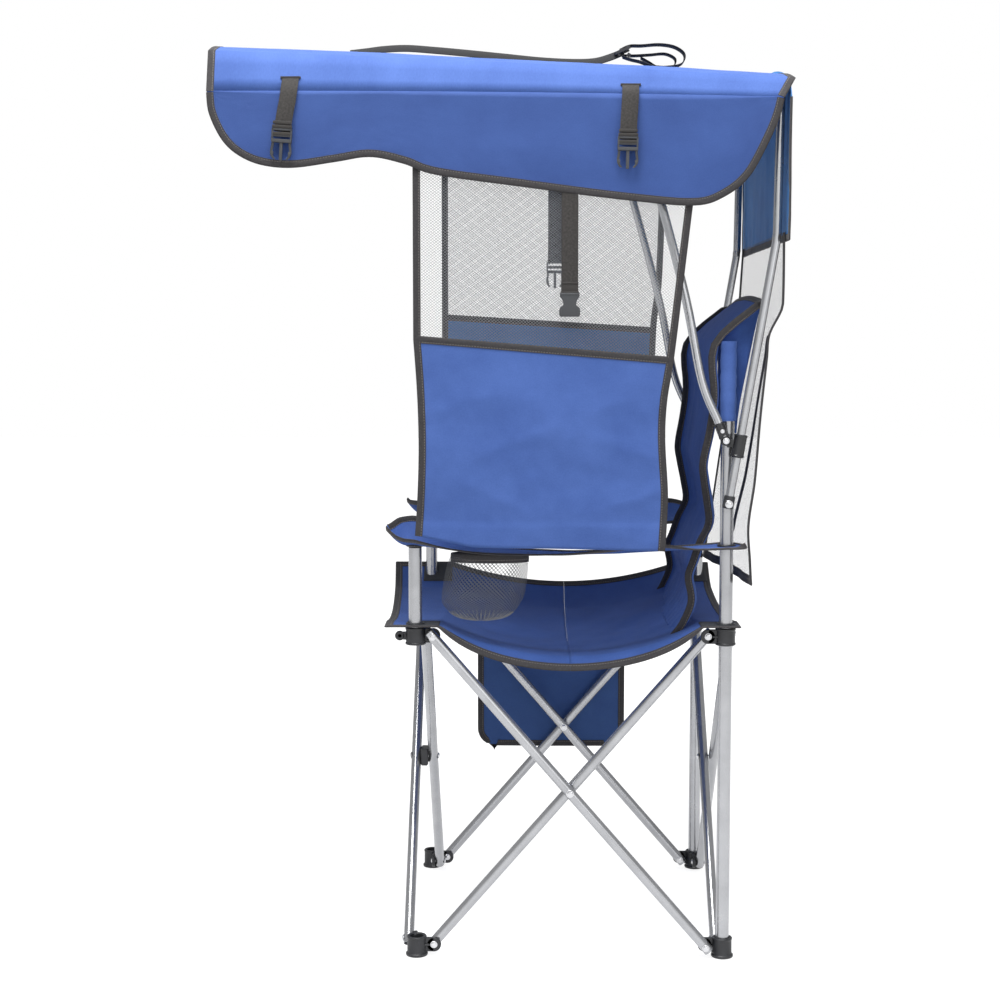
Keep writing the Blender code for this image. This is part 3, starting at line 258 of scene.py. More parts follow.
# %% Trim materials
def ribbed_tape(name, light, dark, rib, stitch_line=None, roughness=0.85):
    """A ribbed ribbon with, on a binding, a row of stitches at stitch_line metres from its edge."""
    made = started_material(name)
    place = add_node(made, "ShaderNodeAttribute", attribute_name="cloth")
    split = add_node(made, "ShaderNodeSeparateXYZ", {0: place.outputs["Vector"]})
    ribs = wave_of(made, split.outputs[1], rib)
    cross = wave_of(made, split.outputs[0], rib * 0.8)
    lay = add_node(made, "ShaderNodeMath", {0: ribs, 1: cross}, operation="MULTIPLY").outputs[0]
    fuzz = add_node(made, "ShaderNodeTexNoise", {"Vector": place.outputs["Vector"], "Scale": 300.0, "Detail": 3.0})
    mixed = add_node(made, "ShaderNodeMath", {0: lay, 1: 0.30, 2: fuzz.outputs["Fac"]}, operation="MULTIPLY_ADD")
    colour = ramp_between(made, mixed.outputs[0], 0.2, 0.9, linear(dark), linear(light))
    height = mixed.outputs[0]
    if stitch_line is not None:
        off = add_node(made, "ShaderNodeMath", {0: split.outputs[0], 1: stitch_line}, operation="SUBTRACT")
        near = add_node(made, "ShaderNodeMath", {0: off.outputs[0]}, operation="ABSOLUTE")
        inside = add_node(made, "ShaderNodeMath", {0: near.outputs[0], 1: 0.55 * MM}, operation="LESS_THAN")
        beat = wave_of(made, split.outputs[1], 4 * MM)
        on = add_node(made, "ShaderNodeMath", {0: beat, 1: -0.45}, operation="GREATER_THAN")
        stitch = add_node(made, "ShaderNodeMath", {0: inside.outputs[0], 1: on.outputs[0]}, operation="MULTIPLY")
        colour = add_node(made, "ShaderNodeMix", {"Factor": stitch.outputs[0], 6: colour, 7: linear("#6E6966")},
                          data_type="RGBA").outputs[2]
        height = add_node(made, "ShaderNodeMath", {0: stitch.outputs[0], 1: 0.8, 2: height},
                          operation="MULTIPLY_ADD").outputs[0]
    relief = add_node(made, "ShaderNodeBump", {"Strength": 0.6, "Distance": 0.3 * MM, "Height": height})
    shader = add_node(made, "ShaderNodeBsdfPrincipled", {
        "Base Color": colour, "Roughness": roughness, "Normal": relief.outputs[0], "Sheen Weight": 0.1,
        "Sheen Roughness": 0.5})
    return closed_material(made, shader)


TAPE_WIDTH = 9.5 * MM
TAPE = ribbed_tape("polyester_binding_tape", "#474547", "#2F2D2F", 1.5 * MM, stitch_line=7.4 * MM)
WEBBING = ribbed_tape("polypropylene_webbing", "#4A4745", "#282625", 2.2 * MM)
BLACK_WEBBING = ribbed_tape("black_shoulder_webbing", "#17171A", "#0C0C0E", 2.2 * MM)


def knitted_thread(name, dark, light):
    """Grey filament thread: each strand a little lighter or darker."""
    made = started_material(name)
    place = add_node(made, "ShaderNodeTexCoord")
    strands = add_node(made, "ShaderNodeTexNoise", {"Vector": place.outputs["Object"], "Scale": 500.0,
                                                    "Detail": 2.0})
    colour = ramp_between(made, strands.outputs["Fac"], 0.3, 0.7, linear(dark), linear(light))
    relief = add_node(made, "ShaderNodeBump", {"Strength": 0.4, "Distance": 0.2 * MM,
                                               "Height": strands.outputs["Fac"]})
    shader = add_node(made, "ShaderNodeBsdfPrincipled", {"Base Color": colour, "Roughness": 0.6,
                                                         "Normal": relief.outputs[0]})
    return closed_material(made, shader)


NET_THREAD = knitted_thread("knitted_net_thread", "#7A7C80", "#A4A6A9")
REAR_THREAD = knitted_thread("rear_net_thread", "#4A4C50", "#77797C")

# %% [markdown]
# ## Steel, nylon and zinc
# The tubes are electric-welded steel with a bright silver lacquer: fine metal flake in a clear binder
# that mirrors the room as a long white stripe. The joints are moulded nylon with a spark-eroded
# grain. Rivets are zinc-plated and slightly dulled by handling.


# %% Hard materials
def grained(name, base, dark, grain, metallic, roughness, spread, bump, depth):
    """A hard surface whose grain has the real size given in metres."""
    made = started_material(name)
    place = add_node(made, "ShaderNodeTexCoord")
    fine = add_node(made, "ShaderNodeTexNoise", {"Vector": place.outputs["Object"], "Scale": 1 / grain,
                                                 "Detail": 2.0})
    broad = add_node(made, "ShaderNodeTexNoise", {"Vector": place.outputs["Object"], "Scale": 24.0, "Detail": 4.0})
    both = add_node(made, "ShaderNodeMath", {0: fine.outputs["Fac"], 1: 0.5, 2: broad.outputs["Fac"]},
                    operation="MULTIPLY_ADD")
    colour = ramp_between(made, both.outputs[0], 0.45, 1.05, linear(dark), linear(base))
    rough = add_node(made, "ShaderNodeMapRange", {"Value": broad.outputs["Fac"], "From Min": 0.3, "From Max": 0.7,
                                                  "To Min": roughness - spread, "To Max": roughness + spread})
    relief = add_node(made, "ShaderNodeBump", {"Strength": bump, "Distance": depth, "Height": fine.outputs["Fac"]})
    shader = add_node(made, "ShaderNodeBsdfPrincipled", {
        "Base Color": colour, "Metallic": metallic, "Roughness": rough.outputs[0], "Normal": relief.outputs[0]})
    return closed_material(made, shader)


STEEL = grained("silver_lacquered_steel", "#B6B7BA", "#A1A2A5", 0.9 * MM, 0.8, 0.24, 0.04, 0.08, 0.1 * MM)
NYLON = grained("moulded_black_nylon", "#303135", "#232427", 0.6 * MM, 0.0, 0.46, 0.06, 0.35, 0.15 * MM)
ZINC = grained("zinc_plated_rivet", "#DADADC", "#B9BABD", 0.8 * MM, 1.0, 0.28, 0.05, 0.1, 0.1 * MM)

# %% The floor
FLOOR_GLOW = 0.84


def glowing_floor():
    """A matt white floor that adds its own glow for the camera, so it reads white and keeps the shadow."""
    made = started_material("matt_white_floor")
    grain = add_node(made, "ShaderNodeTexNoise", {"Scale": 60.0, "Detail": 3.0})
    colour = ramp_between(made, grain.outputs["Fac"], 0.2, 0.8, (0.50, 0.50, 0.50, 1), (0.52, 0.52, 0.52, 1))
    matt = add_node(made, "ShaderNodeBsdfDiffuse", {"Color": colour})
    path = add_node(made, "ShaderNodeLightPath")
    either = add_node(made, "ShaderNodeMath", {0: path.outputs["Is Camera Ray"], 1: path.outputs["Is Glossy Ray"]},
                      operation="MAXIMUM")
    any_view = add_node(made, "ShaderNodeMath", {0: either.outputs[0], 1: path.outputs["Is Transmission Ray"]},
                        operation="MAXIMUM")
    level = add_node(made, "ShaderNodeMath", {0: any_view.outputs[0], 1: FLOOR_GLOW}, operation="MULTIPLY")
    glow = add_node(made, "ShaderNodeEmission", {"Strength": level.outputs[0]})
    return closed_material(made, add_node(made, "ShaderNodeAddShader", {0: matt.outputs[0], 1: glow.outputs[0]}))


floor_mesh = bmesh.new()
bmesh.ops.create_grid(floor_mesh, x_segments=1, y_segments=1, size=14)
floor_data = bpy.data.meshes.new("floor")
floor_mesh.to_mesh(floor_data)
floor_mesh.free()
floor_data.materials.append(glowing_floor())
floor = bpy.data.objects.new("floor", floor_data)
bpy.context.scene.collection.objects.link(floor)

# %% [markdown]
# ## Mesh helpers
# Everything is built from four kinds of mesh: a sheet that follows a surface formula, a profile swept
# along a path, a profile turned round an axis, and a block with broken edges.


# %% Building meshes
def started_mesh():
    """An empty mesh with room for the cloth's own metres."""
    bm = bmesh.new()
    bm.verts.layers.float_vector.new("cloth")
    return bm


def smooth_line(points, steps):
    """A Catmull-Rom line through given points."""
    places = [Vector(p) for p in points]
    out = [places[0]]
    for i in range(len(places) - 1):
        before, after = places[max(i - 1, 0)], places[min(i + 2, len(places) - 1)]
        a, b = places[i], places[i + 1]
        for k in range(1, steps + 1):
            t = k / steps
            out.append(0.5 * (2 * a + (b - before) * t + (2 * before - 5 * a + 4 * b - after) * t ** 2
                              + (3 * a - before - 3 * b + after) * t ** 3))
    return out


def add_sweep(bm, path, across, normals, profile):
    """Sweeps a closed profile of (across, normal) offsets along a path and caps both ends."""
    layer = bm.verts.layers.float_vector["cloth"]
    rings, run = [], 0.0
    for i, spot in enumerate(path):
        run += (spot - path[i - 1]).length if i else 0.0
        ring = []
        for a, n in profile:
            vert = bm.verts.new(spot + across[i] * a + normals[i] * n)
            vert[layer] = (a, run, 0)
            ring.append(vert)
        rings.append(ring)
    count = len(profile)
    faces = [bm.faces.new(rings[0][::-1]), bm.faces.new(rings[-1])]
    for first, second in zip(rings, rings[1:]):
        for k in range(count):
            after = (k + 1) % count
            faces.append(bm.faces.new((first[k], first[after], second[after], second[k])))
    bmesh.ops.recalc_face_normals(bm, faces=faces)


def turning_frames(path):
    """Two directions square to a path that turn with it and don't twist."""
    tangents = [(path[min(i + 1, len(path) - 1)] - path[max(i - 1, 0)]).normalized() for i in range(len(path))]
    across = [tangents[0].orthogonal().normalized()]
    for tangent in tangents[1:]:
        across.append((across[-1] - tangent * across[-1].dot(tangent)).normalized())
    return across, [t.cross(a).normalized() for t, a in zip(tangents, across)]


def circle(radius, sides):
    return [(radius * math.cos(2 * math.pi * k / sides), radius * math.sin(2 * math.pi * k / sides))
            for k in range(sides)]


def add_tube(bm, path, radius, sides=28):
    """A round tube along a path."""
    path = [Vector(p) for p in path]
    add_sweep(bm, path, *turning_frames(path), circle(radius, sides))


def standing(place, direction):
    """The matrix that puts local Z along a direction, at a place."""
    return Matrix.Translation(Vector(place)) @ Vector(direction).to_track_quat("Z", "Y").to_matrix().to_4x4()


def add_turned(bm, profile, matrix, sides=32):
    """Turns a profile of (radius, height) round local Z. Ends with radius zero close to a point."""
    rings, faces = [], []
    for radius, height in profile:
        if radius < 1e-6:
            rings.append([bm.verts.new(matrix @ Vector((0, 0, height)))])
        else:
            rings.append([bm.verts.new(matrix @ Vector((x, y, height))) for x, y in circle(radius, sides)])
    for low, high in zip(rings, rings[1:]):
        for k in range(sides):
            after = (k + 1) % sides
            ring = [low[k % len(low)], low[after % len(low)], high[after % len(high)], high[k % len(high)]]
            face = list(dict.fromkeys(ring))
            if len(face) > 2:
                faces.append(bm.faces.new(face))
    for end in (rings[0], rings[-1]):
        if len(end) > 1:
            faces.append(bm.faces.new(end))
    bmesh.ops.recalc_face_normals(bm, faces=faces)


def add_block(bm, size, matrix, bevel, segments=3):
    """A block with broken edges, centred on the matrix."""
    made = bmesh.ops.create_cube(bm, size=1, matrix=matrix @ Matrix.Diagonal((*size, 1)))
    edges = {e for v in made["verts"] for e in v.link_edges}
    bmesh.ops.bevel(bm, geom=list(edges), offset=bevel, segments=segments, affect="EDGES", profile=0.6)


def piece(name, bm, material, body, replaces=(), squash=None, angle=35):
    """Ends a mesh as a smooth-shaded piece that rides on a body."""
    mesh = bpy.data.meshes.new(name)
    bm.to_mesh(mesh)
    bm.free()
    mesh.shade_smooth()
    mesh.set_sharp_from_angle(angle=math.radians(angle))
    for finish in material if isinstance(material, (list, tuple)) else [material]:
        mesh.materials.append(finish)
    made = bpy.data.objects.new(name, mesh)
    bpy.context.scene.collection.objects.link(made)
    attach(made, body)
    if replaces:
        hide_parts(*replaces)
    if squash:
        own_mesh(made)
    return made


def cloth(name, surface, across, down, size, body, replaces=(), squash=None, finish=(OXFORD, COATED_BACK_WITH_PAINTED_LIGHT),
          thickness=0.9 * MM, keep_face=None):
    """A sheet through surface(u, v), u and v from 0 to 1, size metres of cloth wide and long."""
    bm = started_mesh()
    layer = bm.verts.layers.float_vector["cloth"]
    bmesh.ops.create_grid(bm, x_segments=across, y_segments=down, size=0.5)
    for vert in bm.verts:
        u, v = vert.co.x + 0.5, vert.co.y + 0.5
        vert[layer] = (u * size[0], v * size[1], 0)
        vert.co = Vector(surface(u, v))
    if keep_face:
        gone = [f for f in bm.faces if not keep_face(f.calc_center_median())]
        bmesh.ops.delete(bm, geom=gone, context="FACES")
    made = piece(name, bm, finish, body, replaces, squash, angle=60)
    body_of_cloth = made.modifiers.new("thickness", "SOLIDIFY")
    body_of_cloth.thickness = thickness
    body_of_cloth.offset = 0
    body_of_cloth.material_offset = 1 if len(finish) > 1 else 0
    return made


def tape_profile(width=TAPE_WIDTH, half=1.25 * MM):
    """The section of a binding folded over a cloth edge: flat arms, a round nose, a stitched dip."""
    upper = [(width, half * 0.4), (width * 0.97, half), (width * 0.84, half), (width * 0.78, half * 0.8),
             (width * 0.72, half), (width * 0.1, half * 1.1), (-half * 0.7, half * 0.7)]
    return upper + [(-half * 1.1, 0)] + [(a, -n) for a, n in reversed(upper)]


def binding(name, path, inward, normals, body, squash=None, width=TAPE_WIDTH):
    """A binding tape along a cloth's edge. inward points from the edge into the cloth."""
    bm = started_mesh()
    add_sweep(bm, path, inward, normals, tape_profile(width))
    return piece(name, bm, TAPE, body, (), squash, angle=50)


def edge_frames(surface, line, inner, step=0.004):
    """Points, inward directions and normals along a line of (u, v) on a surface."""
    path, inward, normals = [], [], []
    for (u, v), (iu, iv) in zip(line, inner):
        spot = Vector(surface(u, v))
        into = (Vector(surface(u + iu * step, v + iv * step)) - spot).normalized()
        path.append(spot)
        inward.append(into)
    for i in range(len(path)):
        along = (path[min(i + 1, len(path) - 1)] - path[max(i - 1, 0)]).normalized()
        inward[i] = (inward[i] - along * inward[i].dot(along)).normalized()
        normals.append(inward[i].cross(along).normalized())
    return path, inward, normals


def edge_binding(name, surface, line, inner, body, squash=None, width=TAPE_WIDTH):
    """A binding along a line of (u, v) on a surface, with inner the direction into the cloth."""
    return binding(name, *edge_frames(surface, line, inner), body, squash, width)


def share_line(count):
    return [k / count for k in range(count + 1)]


# %% [markdown]
# ## Gathering settings
# The frame closes like an umbrella, so each cloth gathers towards the side it is fastened to. A squash
# gives the joint, the direction and anchor to flatten along, and the share that the posts come together;
# here it only gives a piece its own copy of its mesh, and nothing flattens the piece.

# %% Gathering
GATHER = 0.3476
SEAT_GATHER = {"joint": "fold", "axis": (1, 0, 0), "anchor": (POST_X, 0, 0), "keep": GATHER}
ROOF_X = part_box("roof")[1].x
ROOF_GATHER = {"joint": "fold", "axis": (1, 0, 0), "anchor": (ROOF_X, 0, 0), "keep": 0.468}

# %% [markdown]
# ## Legs and posts
# The frame's tubes are eight-sided, enough for weight and contact. Here each is turned again with a
# round wall, a clean sawn end and the hollow that shows inside it.

# %% Legs and posts
LEG_RADIUS = 8 * MM
POST_RADIUS = 10 * MM
WALL = 1.1 * MM
RUNNING_GAP = 0.3 * MM
PIVOT_INSET = 26 * MM
FOOT_PIVOT_Z = 18 * MM
HUB_PIVOT_Z = 490 * MM
LEG_END = 9 * MM
SIDE_OFFSET = LEG_RADIUS + RUNNING_GAP
FRONT_OFFSET = SIDE_OFFSET + 5.5 * MM
LEGS = {
    # name: (axis it runs along, place of its side, offset from that, end of the run where its foot is)
    "side_leg_left_fore": (1, POST_X, -SIDE_OFFSET, -1),
    "side_leg_left_aft": (1, POST_X, SIDE_OFFSET, 1),
    "side_leg_right_fore": (1, -POST_X, -SIDE_OFFSET, -1),
    "side_leg_right_aft": (1, -POST_X, SIDE_OFFSET, 1),
    "front_leg_left": (0, FRONT_Y, -FRONT_OFFSET, 1),
    "front_leg_right": (0, FRONT_Y, FRONT_OFFSET, -1),
    "rear_leg_left": (0, REAR_Y, -SIDE_OFFSET, 1),
    "rear_leg_right": (0, REAR_Y, SIDE_OFFSET, -1),
}


def leg_point(leg, end, height):
    """A point on a leg's line: end is its place along the run, from -1 to 1."""
    axis, side_place, offset, _ = leg
    centre = (0, MID_Y)[axis]
    spot = [0, 0, height]
    spot[axis] = centre + end * (HALF_SPAN - PIVOT_INSET)
    spot[1 - axis] = side_place + offset
    return Vector(spot)


def add_straight_tube(bm, start, end, radius, wall=WALL, recess=6 * MM):
    """A sawn tube between two points: a round wall, a broken edge and a dark hollow at each end."""
    start, end = Vector(start), Vector(end)
    length = (end - start).length
    half = [(0, recess), (radius - wall, recess), (radius - wall, 0.2 * MM), (radius - 0.3 * MM, 0),
            (radius, 0.4 * MM)]
    profile = half + [(r, length - z) for r, z in reversed(half)]
    add_turned(bm, profile, standing(start, end - start), 36)


for leg_name, leg in LEGS.items():
    low_end, high_end = leg_point(leg, leg[3], FOOT_PIVOT_Z), leg_point(leg, -leg[3], HUB_PIVOT_Z)
    reach = (high_end - low_end).normalized() * LEG_END
    tube = started_mesh()
    add_straight_tube(tube, low_end - reach, high_end + reach, LEG_RADIUS)
    piece("tube_" + leg_name, tube, STEEL, leg_name, [leg_name])

for side_name, side in SIDES.items():
    for post, body in (("arm_post_", f"front_{side_name}_hub"), ("back_post_", f"rear_{side_name}_post")):
        low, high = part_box(post + side_name)
        centre = (low + high) / 2
        tube = started_mesh()
        add_straight_tube(tube, (centre.x, centre.y, low.z), (centre.x, centre.y, high.z), POST_RADIUS)
        piece("tube_" + post + side_name, tube, STEEL, body, [post + side_name])
print("round tubes:", len(LEGS), "legs and 4 posts")

# %% [markdown]
# ## Canopy tubes
# Two bent tubes a side. The rear one stands on a rivet through the back post, kinks at its knee and ends
# in the roof's corner. The front one springs from a clamp on it and bends forward under the roof.

# %% Canopy tubes
TUBE_RADIUS = 6.35 * MM
CLAMP_RADIUS = 10 * MM
CANOPY_X = POST_X + POST_RADIUS + RUNNING_GAP + CLAMP_RADIUS
PIVOT_Z = 690 * MM
CLAMP_UP = 85 * MM
KNEE_UP = 388 * MM
KNEE_BACK = 66 * MM
ELBOW_OFFSET = Vector((0, -19.5 * MM, 8 * MM))
ROOF_LOW, ROOF_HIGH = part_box("roof")
ROOF_LENGTH = ROOF_HIGH.y - ROOF_LOW.y
ROOF_EDGE_Z = 1283 * MM
ROOF_EDGE_DROP = 10 * MM
ROOF_RISE_FRONT, ROOF_RISE_REAR = 102 * MM, 69 * MM
ROOF_SLOPE_FRONT, ROOF_SLOPE_REAR = 60 * MM, 30 * MM
ROOF_STRIP = ROOF_X / 14
PIVOT_POINT = Vector((CANOPY_X, REAR_Y, PIVOT_Z))
KNEE_POINT = PIVOT_POINT + Vector((0, KNEE_BACK, KNEE_UP))
LEAN = (KNEE_POINT - PIVOT_POINT).normalized()
CLAMP_POINT = PIVOT_POINT.lerp(KNEE_POINT, CLAMP_UP / KNEE_UP)
ELBOW_POINT = CLAMP_POINT + ELBOW_OFFSET
FRONT_TUBE_REACH = 201 * MM
# forward as shares of that reach, up as shares of the rise from the clamp to the roof's edge
FRONT_TUBE_SHARES = ((0.204, 0.189), (0.323, 0.419), (0.507, 0.691), (0.612, 0.821), (0.761, 0.915), (1.0, 0.965))


def roof_height(x, y):
    """The roof's height: a steep strip above each edge, then a low arch. Both are lower at the rear."""
    back = (y - ROOF_LOW.y) / ROOF_LENGTH
    edge = ROOF_EDGE_Z - ROOF_EDGE_DROP * back ** 2
    rise = ROOF_RISE_FRONT + (ROOF_RISE_REAR - ROOF_RISE_FRONT) * back
    slope_rise = ROOF_SLOPE_FRONT + (ROOF_SLOPE_REAR - ROOF_SLOPE_FRONT) * back
    arch = ROOF_X - ROOF_STRIP
    if abs(x) > arch:
        return edge + slope_rise * (ROOF_X - abs(x)) / ROOF_STRIP
    return edge + rise - (rise - slope_rise) * (x / arch) ** 2


def tube_height(y):
    """The height of a tube's middle where it lies against the roof's slope strip."""
    inner, outer = CANOPY_X - TUBE_RADIUS, CANOPY_X + TUBE_RADIUS
    slope = (roof_height(inner, y) - roof_height(outer, y)) / (outer - inner)
    return roof_height(CANOPY_X, y) - (TUBE_RADIUS + 1.65 * MM) * math.hypot(1, slope)


def on_side(point, side):
    return Vector((point[0] * side, point[1], point[2]))


def front_tube_line():
    """The front tube's middle line, from the elbow to its tip under the roof."""
    rise = ROOF_EDGE_Z - CLAMP_POINT.z
    bends = [Vector((CANOPY_X, REAR_Y - f * FRONT_TUBE_REACH, CLAMP_POINT.z + u * rise)) for f, u in FRONT_TUBE_SHARES]
    climb = (bends[0] - ELBOW_POINT).normalized()
    shoulder_y = bends[-1].y - 90 * MM
    tip_y = ROOF_LOW.y + 30 * MM
    run = [shoulder_y + (tip_y - shoulder_y) * k / 4 for k in range(5)]
    return [ELBOW_POINT + climb * 7 * MM, ELBOW_POINT + climb * 33 * MM, *bends,
            *(Vector((CANOPY_X, y, tube_height(y))) for y in run)]


REAR_TOP = Vector((CANOPY_X, ROOF_HIGH.y - 12 * MM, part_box("canopy_rear_tube_left")[1].z - 2 * MM))
RISE = (REAR_TOP - KNEE_POINT).normalized()
REAR_TUBE_LINE = [PIVOT_POINT + LEAN * 5 * MM, PIVOT_POINT.lerp(KNEE_POINT, 0.5), KNEE_POINT - LEAN * 28 * MM,
                  KNEE_POINT + (RISE - LEAN) * 5 * MM, KNEE_POINT + RISE * 28 * MM, REAR_TOP]
for side_name, side in SIDES.items():
    for kind, line in (("rear", REAR_TUBE_LINE), ("front", front_tube_line())):
        tube = started_mesh()
        path = smooth_line([on_side(p, side) for p in line], 6)
        if kind == "front":
            path = [Vector((p.x, p.y, min(p.z, tube_height(p.y)))) for p in path]
        add_tube(tube, path, TUBE_RADIUS)
        node = f"canopy_{kind}_tube_{side_name}"
        piece("tube_" + node, tube, STEEL, "canopy_" + side_name, [node])

# %% [markdown]
# ## Rivets
# Semi-tubular rivets: a domed head on one side, a rolled one on the other, over a thin washer.


# %% Rivets
def add_rivet_head(bm, place, direction, radius=4.6 * MM):
    """A domed head on a washer, standing off a face in the given direction."""
    height = radius * 0.42
    washer = 0.5 * MM
    profile = [(0, 0), (radius * 1.25, 0), (radius * 1.3, washer * 0.4), (radius * 1.22, washer), (radius, washer),
               (radius * 0.94, washer + height * 0.45), (radius * 0.72, washer + height * 0.8),
               (radius * 0.36, washer + height * 0.97), (0, washer + height)]
    add_turned(bm, profile, standing(place, direction), 28)


def add_rivet(bm, start, end, radius=4.6 * MM):
    """A rivet from one face to another, with a head beyond each."""
    start, end = Vector(start), Vector(end)
    add_turned(bm, [(2.4 * MM, 0), (2.4 * MM, (end - start).length)], standing(start, end - start), 20)
    add_rivet_head(bm, start, start - end, radius)
    add_rivet_head(bm, end, end - start, radius)


CROSSING_Z = (FOOT_PIVOT_Z + HUB_PIVOT_Z) / 2
CROSSINGS = {
    # node: (axis of the rivet, its side's place, half its grip, body)
    "side_rivet_left": (0, POST_X, SIDE_OFFSET + LEG_RADIUS, "side_leg_left_aft"),
    "side_rivet_right": (0, -POST_X, SIDE_OFFSET + LEG_RADIUS, "side_leg_right_aft"),
    "rear_rivet": (1, REAR_Y, SIDE_OFFSET + LEG_RADIUS, "rear_leg_left"),
    "front_bolt": (1, FRONT_Y, FRONT_OFFSET + LEG_RADIUS, "front_leg_left"),
}
for node, (axis, place, grip, body) in CROSSINGS.items():
    ends = []
    for reach in (-grip, grip):
        spot = [0, MID_Y, CROSSING_Z] if axis == 0 else [0, 0, CROSSING_Z]
        spot[axis] = place + reach
        ends.append(spot)
    rivet = started_mesh()
    add_rivet(rivet, *ends)
    piece("domed_" + node, rivet, ZINC, body, [node])

# %% [markdown]
# ## Feet and hubs
# Each corner is one nylon moulding: a socket for the post and two ears with rounded ends, one for each
# leg. The foot has a wide base, the hub a lip at each end, and the front hubs carry an eyelet.


# %% Feet and hubs
EAR_THICKNESS = 5 * MM
EAR_RADIUS = 11 * MM
SOCKET_RADIUS = 14.5 * MM
FOOT_HEIGHT = 31 * MM
HUB_HEIGHT = 26 * MM
FOOT_PROFILE = [(0, 0), (13.0 * MM, 0), (14.6 * MM, 0.8 * MM), (16.2 * MM, 1.2 * MM), (16.8 * MM, 2.4 * MM),
                (16.6 * MM, 4.6 * MM), (15.2 * MM, 5.8 * MM), (14.5 * MM, 7 * MM), (14.4 * MM, 27 * MM),
                (15.0 * MM, 28 * MM), (15.0 * MM, 30 * MM), (14.2 * MM, 31 * MM), (11.4 * MM, 31 * MM),
                (10.4 * MM, 30 * MM), (10.4 * MM, 8 * MM), (0, 8 * MM)]
HUB_PROFILE = [(10.4 * MM, 0), (13.8 * MM, 0), (15.2 * MM, 0.9 * MM), (15.2 * MM, 3 * MM), (14.4 * MM, 4 * MM),
               (14.4 * MM, 22 * MM), (15.2 * MM, 23 * MM), (15.2 * MM, 25 * MM), (13.8 * MM, 26 * MM),
               (10.4 * MM, 26 * MM)]
CORNERS = {"front_left": (1, -1), "front_right": (-1, -1), "rear_left": (1, 1), "rear_right": (-1, 1)}


def legs_here(side_x, side_y, at_foot):
    """The legs of a corner, each as the axis across its side and its offset."""
    found = []
    for axis, side_place, offset, foot_end in LEGS.values():
        across = 1 - axis
        centre = (0, MID_Y)[across]
        same_side = (side_place > centre) == ((side_x, side_y)[across] > 0)
        if same_side and (foot_end if at_foot else -foot_end) == (side_x, side_y)[axis]:
            found.append((across, offset))
    return found


def corner_moulding(name, corner, at_foot, body):
    """One foot or hub with its two ears, and the rivets through them."""
    side_x, side_y = CORNERS[corner]
    x, y = side_x * POST_X, MID_Y + side_y * HALF_SPAN
    bottom = 0 if at_foot else HUB_PIVOT_Z - HUB_HEIGHT / 2
    pivot_z = FOOT_PIVOT_Z if at_foot else HUB_PIVOT_Z
    bm, rivets = started_mesh(), started_mesh()
    add_turned(bm, FOOT_PROFILE if at_foot else HUB_PROFILE, Matrix.Translation((x, y, bottom)), 40)
    for across, offset in legs_here(side_x, side_y, at_foot):
        run = 1 - across
        inward = -(side_x, side_y)[run]
        away = 1 if offset > 0 else -1
        spot = [x, y, pivot_z]
        spot[across] += offset - away * (LEG_RADIUS + RUNNING_GAP + EAR_THICKNESS / 2)
        spot[run] += inward * PIVOT_INSET
        end = Vector(spot)
        spot[run] -= inward * (PIVOT_INSET - SOCKET_RADIUS * 0.6)
        root = Vector(spot)
        direction = Vector((0, 0, 0))
        direction[across] = away
        plate = end - direction * (EAR_THICKNESS / 2)
        ear_radius = min(EAR_RADIUS, pivot_z - bottom - 1 * MM)
        rim = 0.8 * MM
        add_turned(bm, [(0, 0), (ear_radius - rim, 0), (ear_radius, rim), (ear_radius, EAR_THICKNESS - rim),
                        (ear_radius - rim, EAR_THICKNESS), (0, EAR_THICKNESS)], standing(plate, direction), 32)
        size = [0, 0, ear_radius * 1.96]
        size[across] = EAR_THICKNESS
        size[run] = (end - root).length
        add_block(bm, size, Matrix.Translation((end + root) / 2), rim)
        size[2] = 3 * MM
        size[across] = EAR_THICKNESS + 2.4 * MM
        size[run] *= 0.8
        gusset = (end + root * 3) / 4 - direction * 1.2 * MM
        add_block(bm, size, Matrix.Translation(gusset), rim)
        inner = end - direction * (EAR_THICKNESS / 2)
        outer = end + direction * (EAR_THICKNESS / 2 + 2 * (LEG_RADIUS + RUNNING_GAP))
        add_rivet(rivets, inner, outer, 4.2 * MM)
    if not at_foot and side_y < 0:
        reach = y - SOCKET_RADIUS - 9 * MM
        ring = [(2.7 * MM, -2.4 * MM), (6.6 * MM, -2.4 * MM), (7.2 * MM, -1.6 * MM), (7.2 * MM, 1.6 * MM),
                (6.6 * MM, 2.4 * MM), (2.7 * MM, 2.4 * MM)]
        add_turned(bm, ring + ring[:1], standing((x, reach, pivot_z), (1, 0, 0)), 28)
        add_block(bm, (4.8 * MM, 8 * MM, 12 * MM), Matrix.Translation((x, y - SOCKET_RADIUS - 0.5 * MM, pivot_z)),
                  0.8 * MM)
    piece("moulded_" + name, bm, NYLON, body, [name], angle=30)
    piece("rivets_" + name, rivets, ZINC, body)


for corner_name in CORNERS:
    row, side_name = corner_name.split("_")
    foot_body = f"front_{side_name}_foot" if row == "front" else f"rear_{side_name}_post"
    corner_moulding("foot_" + corner_name, corner_name, True, foot_body)
    corner_moulding("hub_" + corner_name, corner_name, False, f"{row}_{side_name}_hub")

low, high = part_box("front_spacer")
spacer = started_mesh()
add_block(spacer, high - low, Matrix.Translation((low + high) / 2), 2.2 * MM, 4)
for groove in (-1, 1):
    add_block(spacer, (3 * MM, (high - low).y + 1.2 * MM, (high - low).z * 0.9),
              Matrix.Translation((low + high) / 2 + Vector((groove * 9 * MM, 0, 0))), 0.6 * MM)
piece("moulded_front_spacer", spacer, NYLON, "front_leg_left", ["front_spacer"], angle=30)

# %% [markdown]
# ## Canopy fittings
# On each side: a cap on the rear tube's foot, riveted to the post over a washer; a clamp moulded round the
# rear tube; and an elbow cap on the front tube's end, riveted to the clamp's lug.

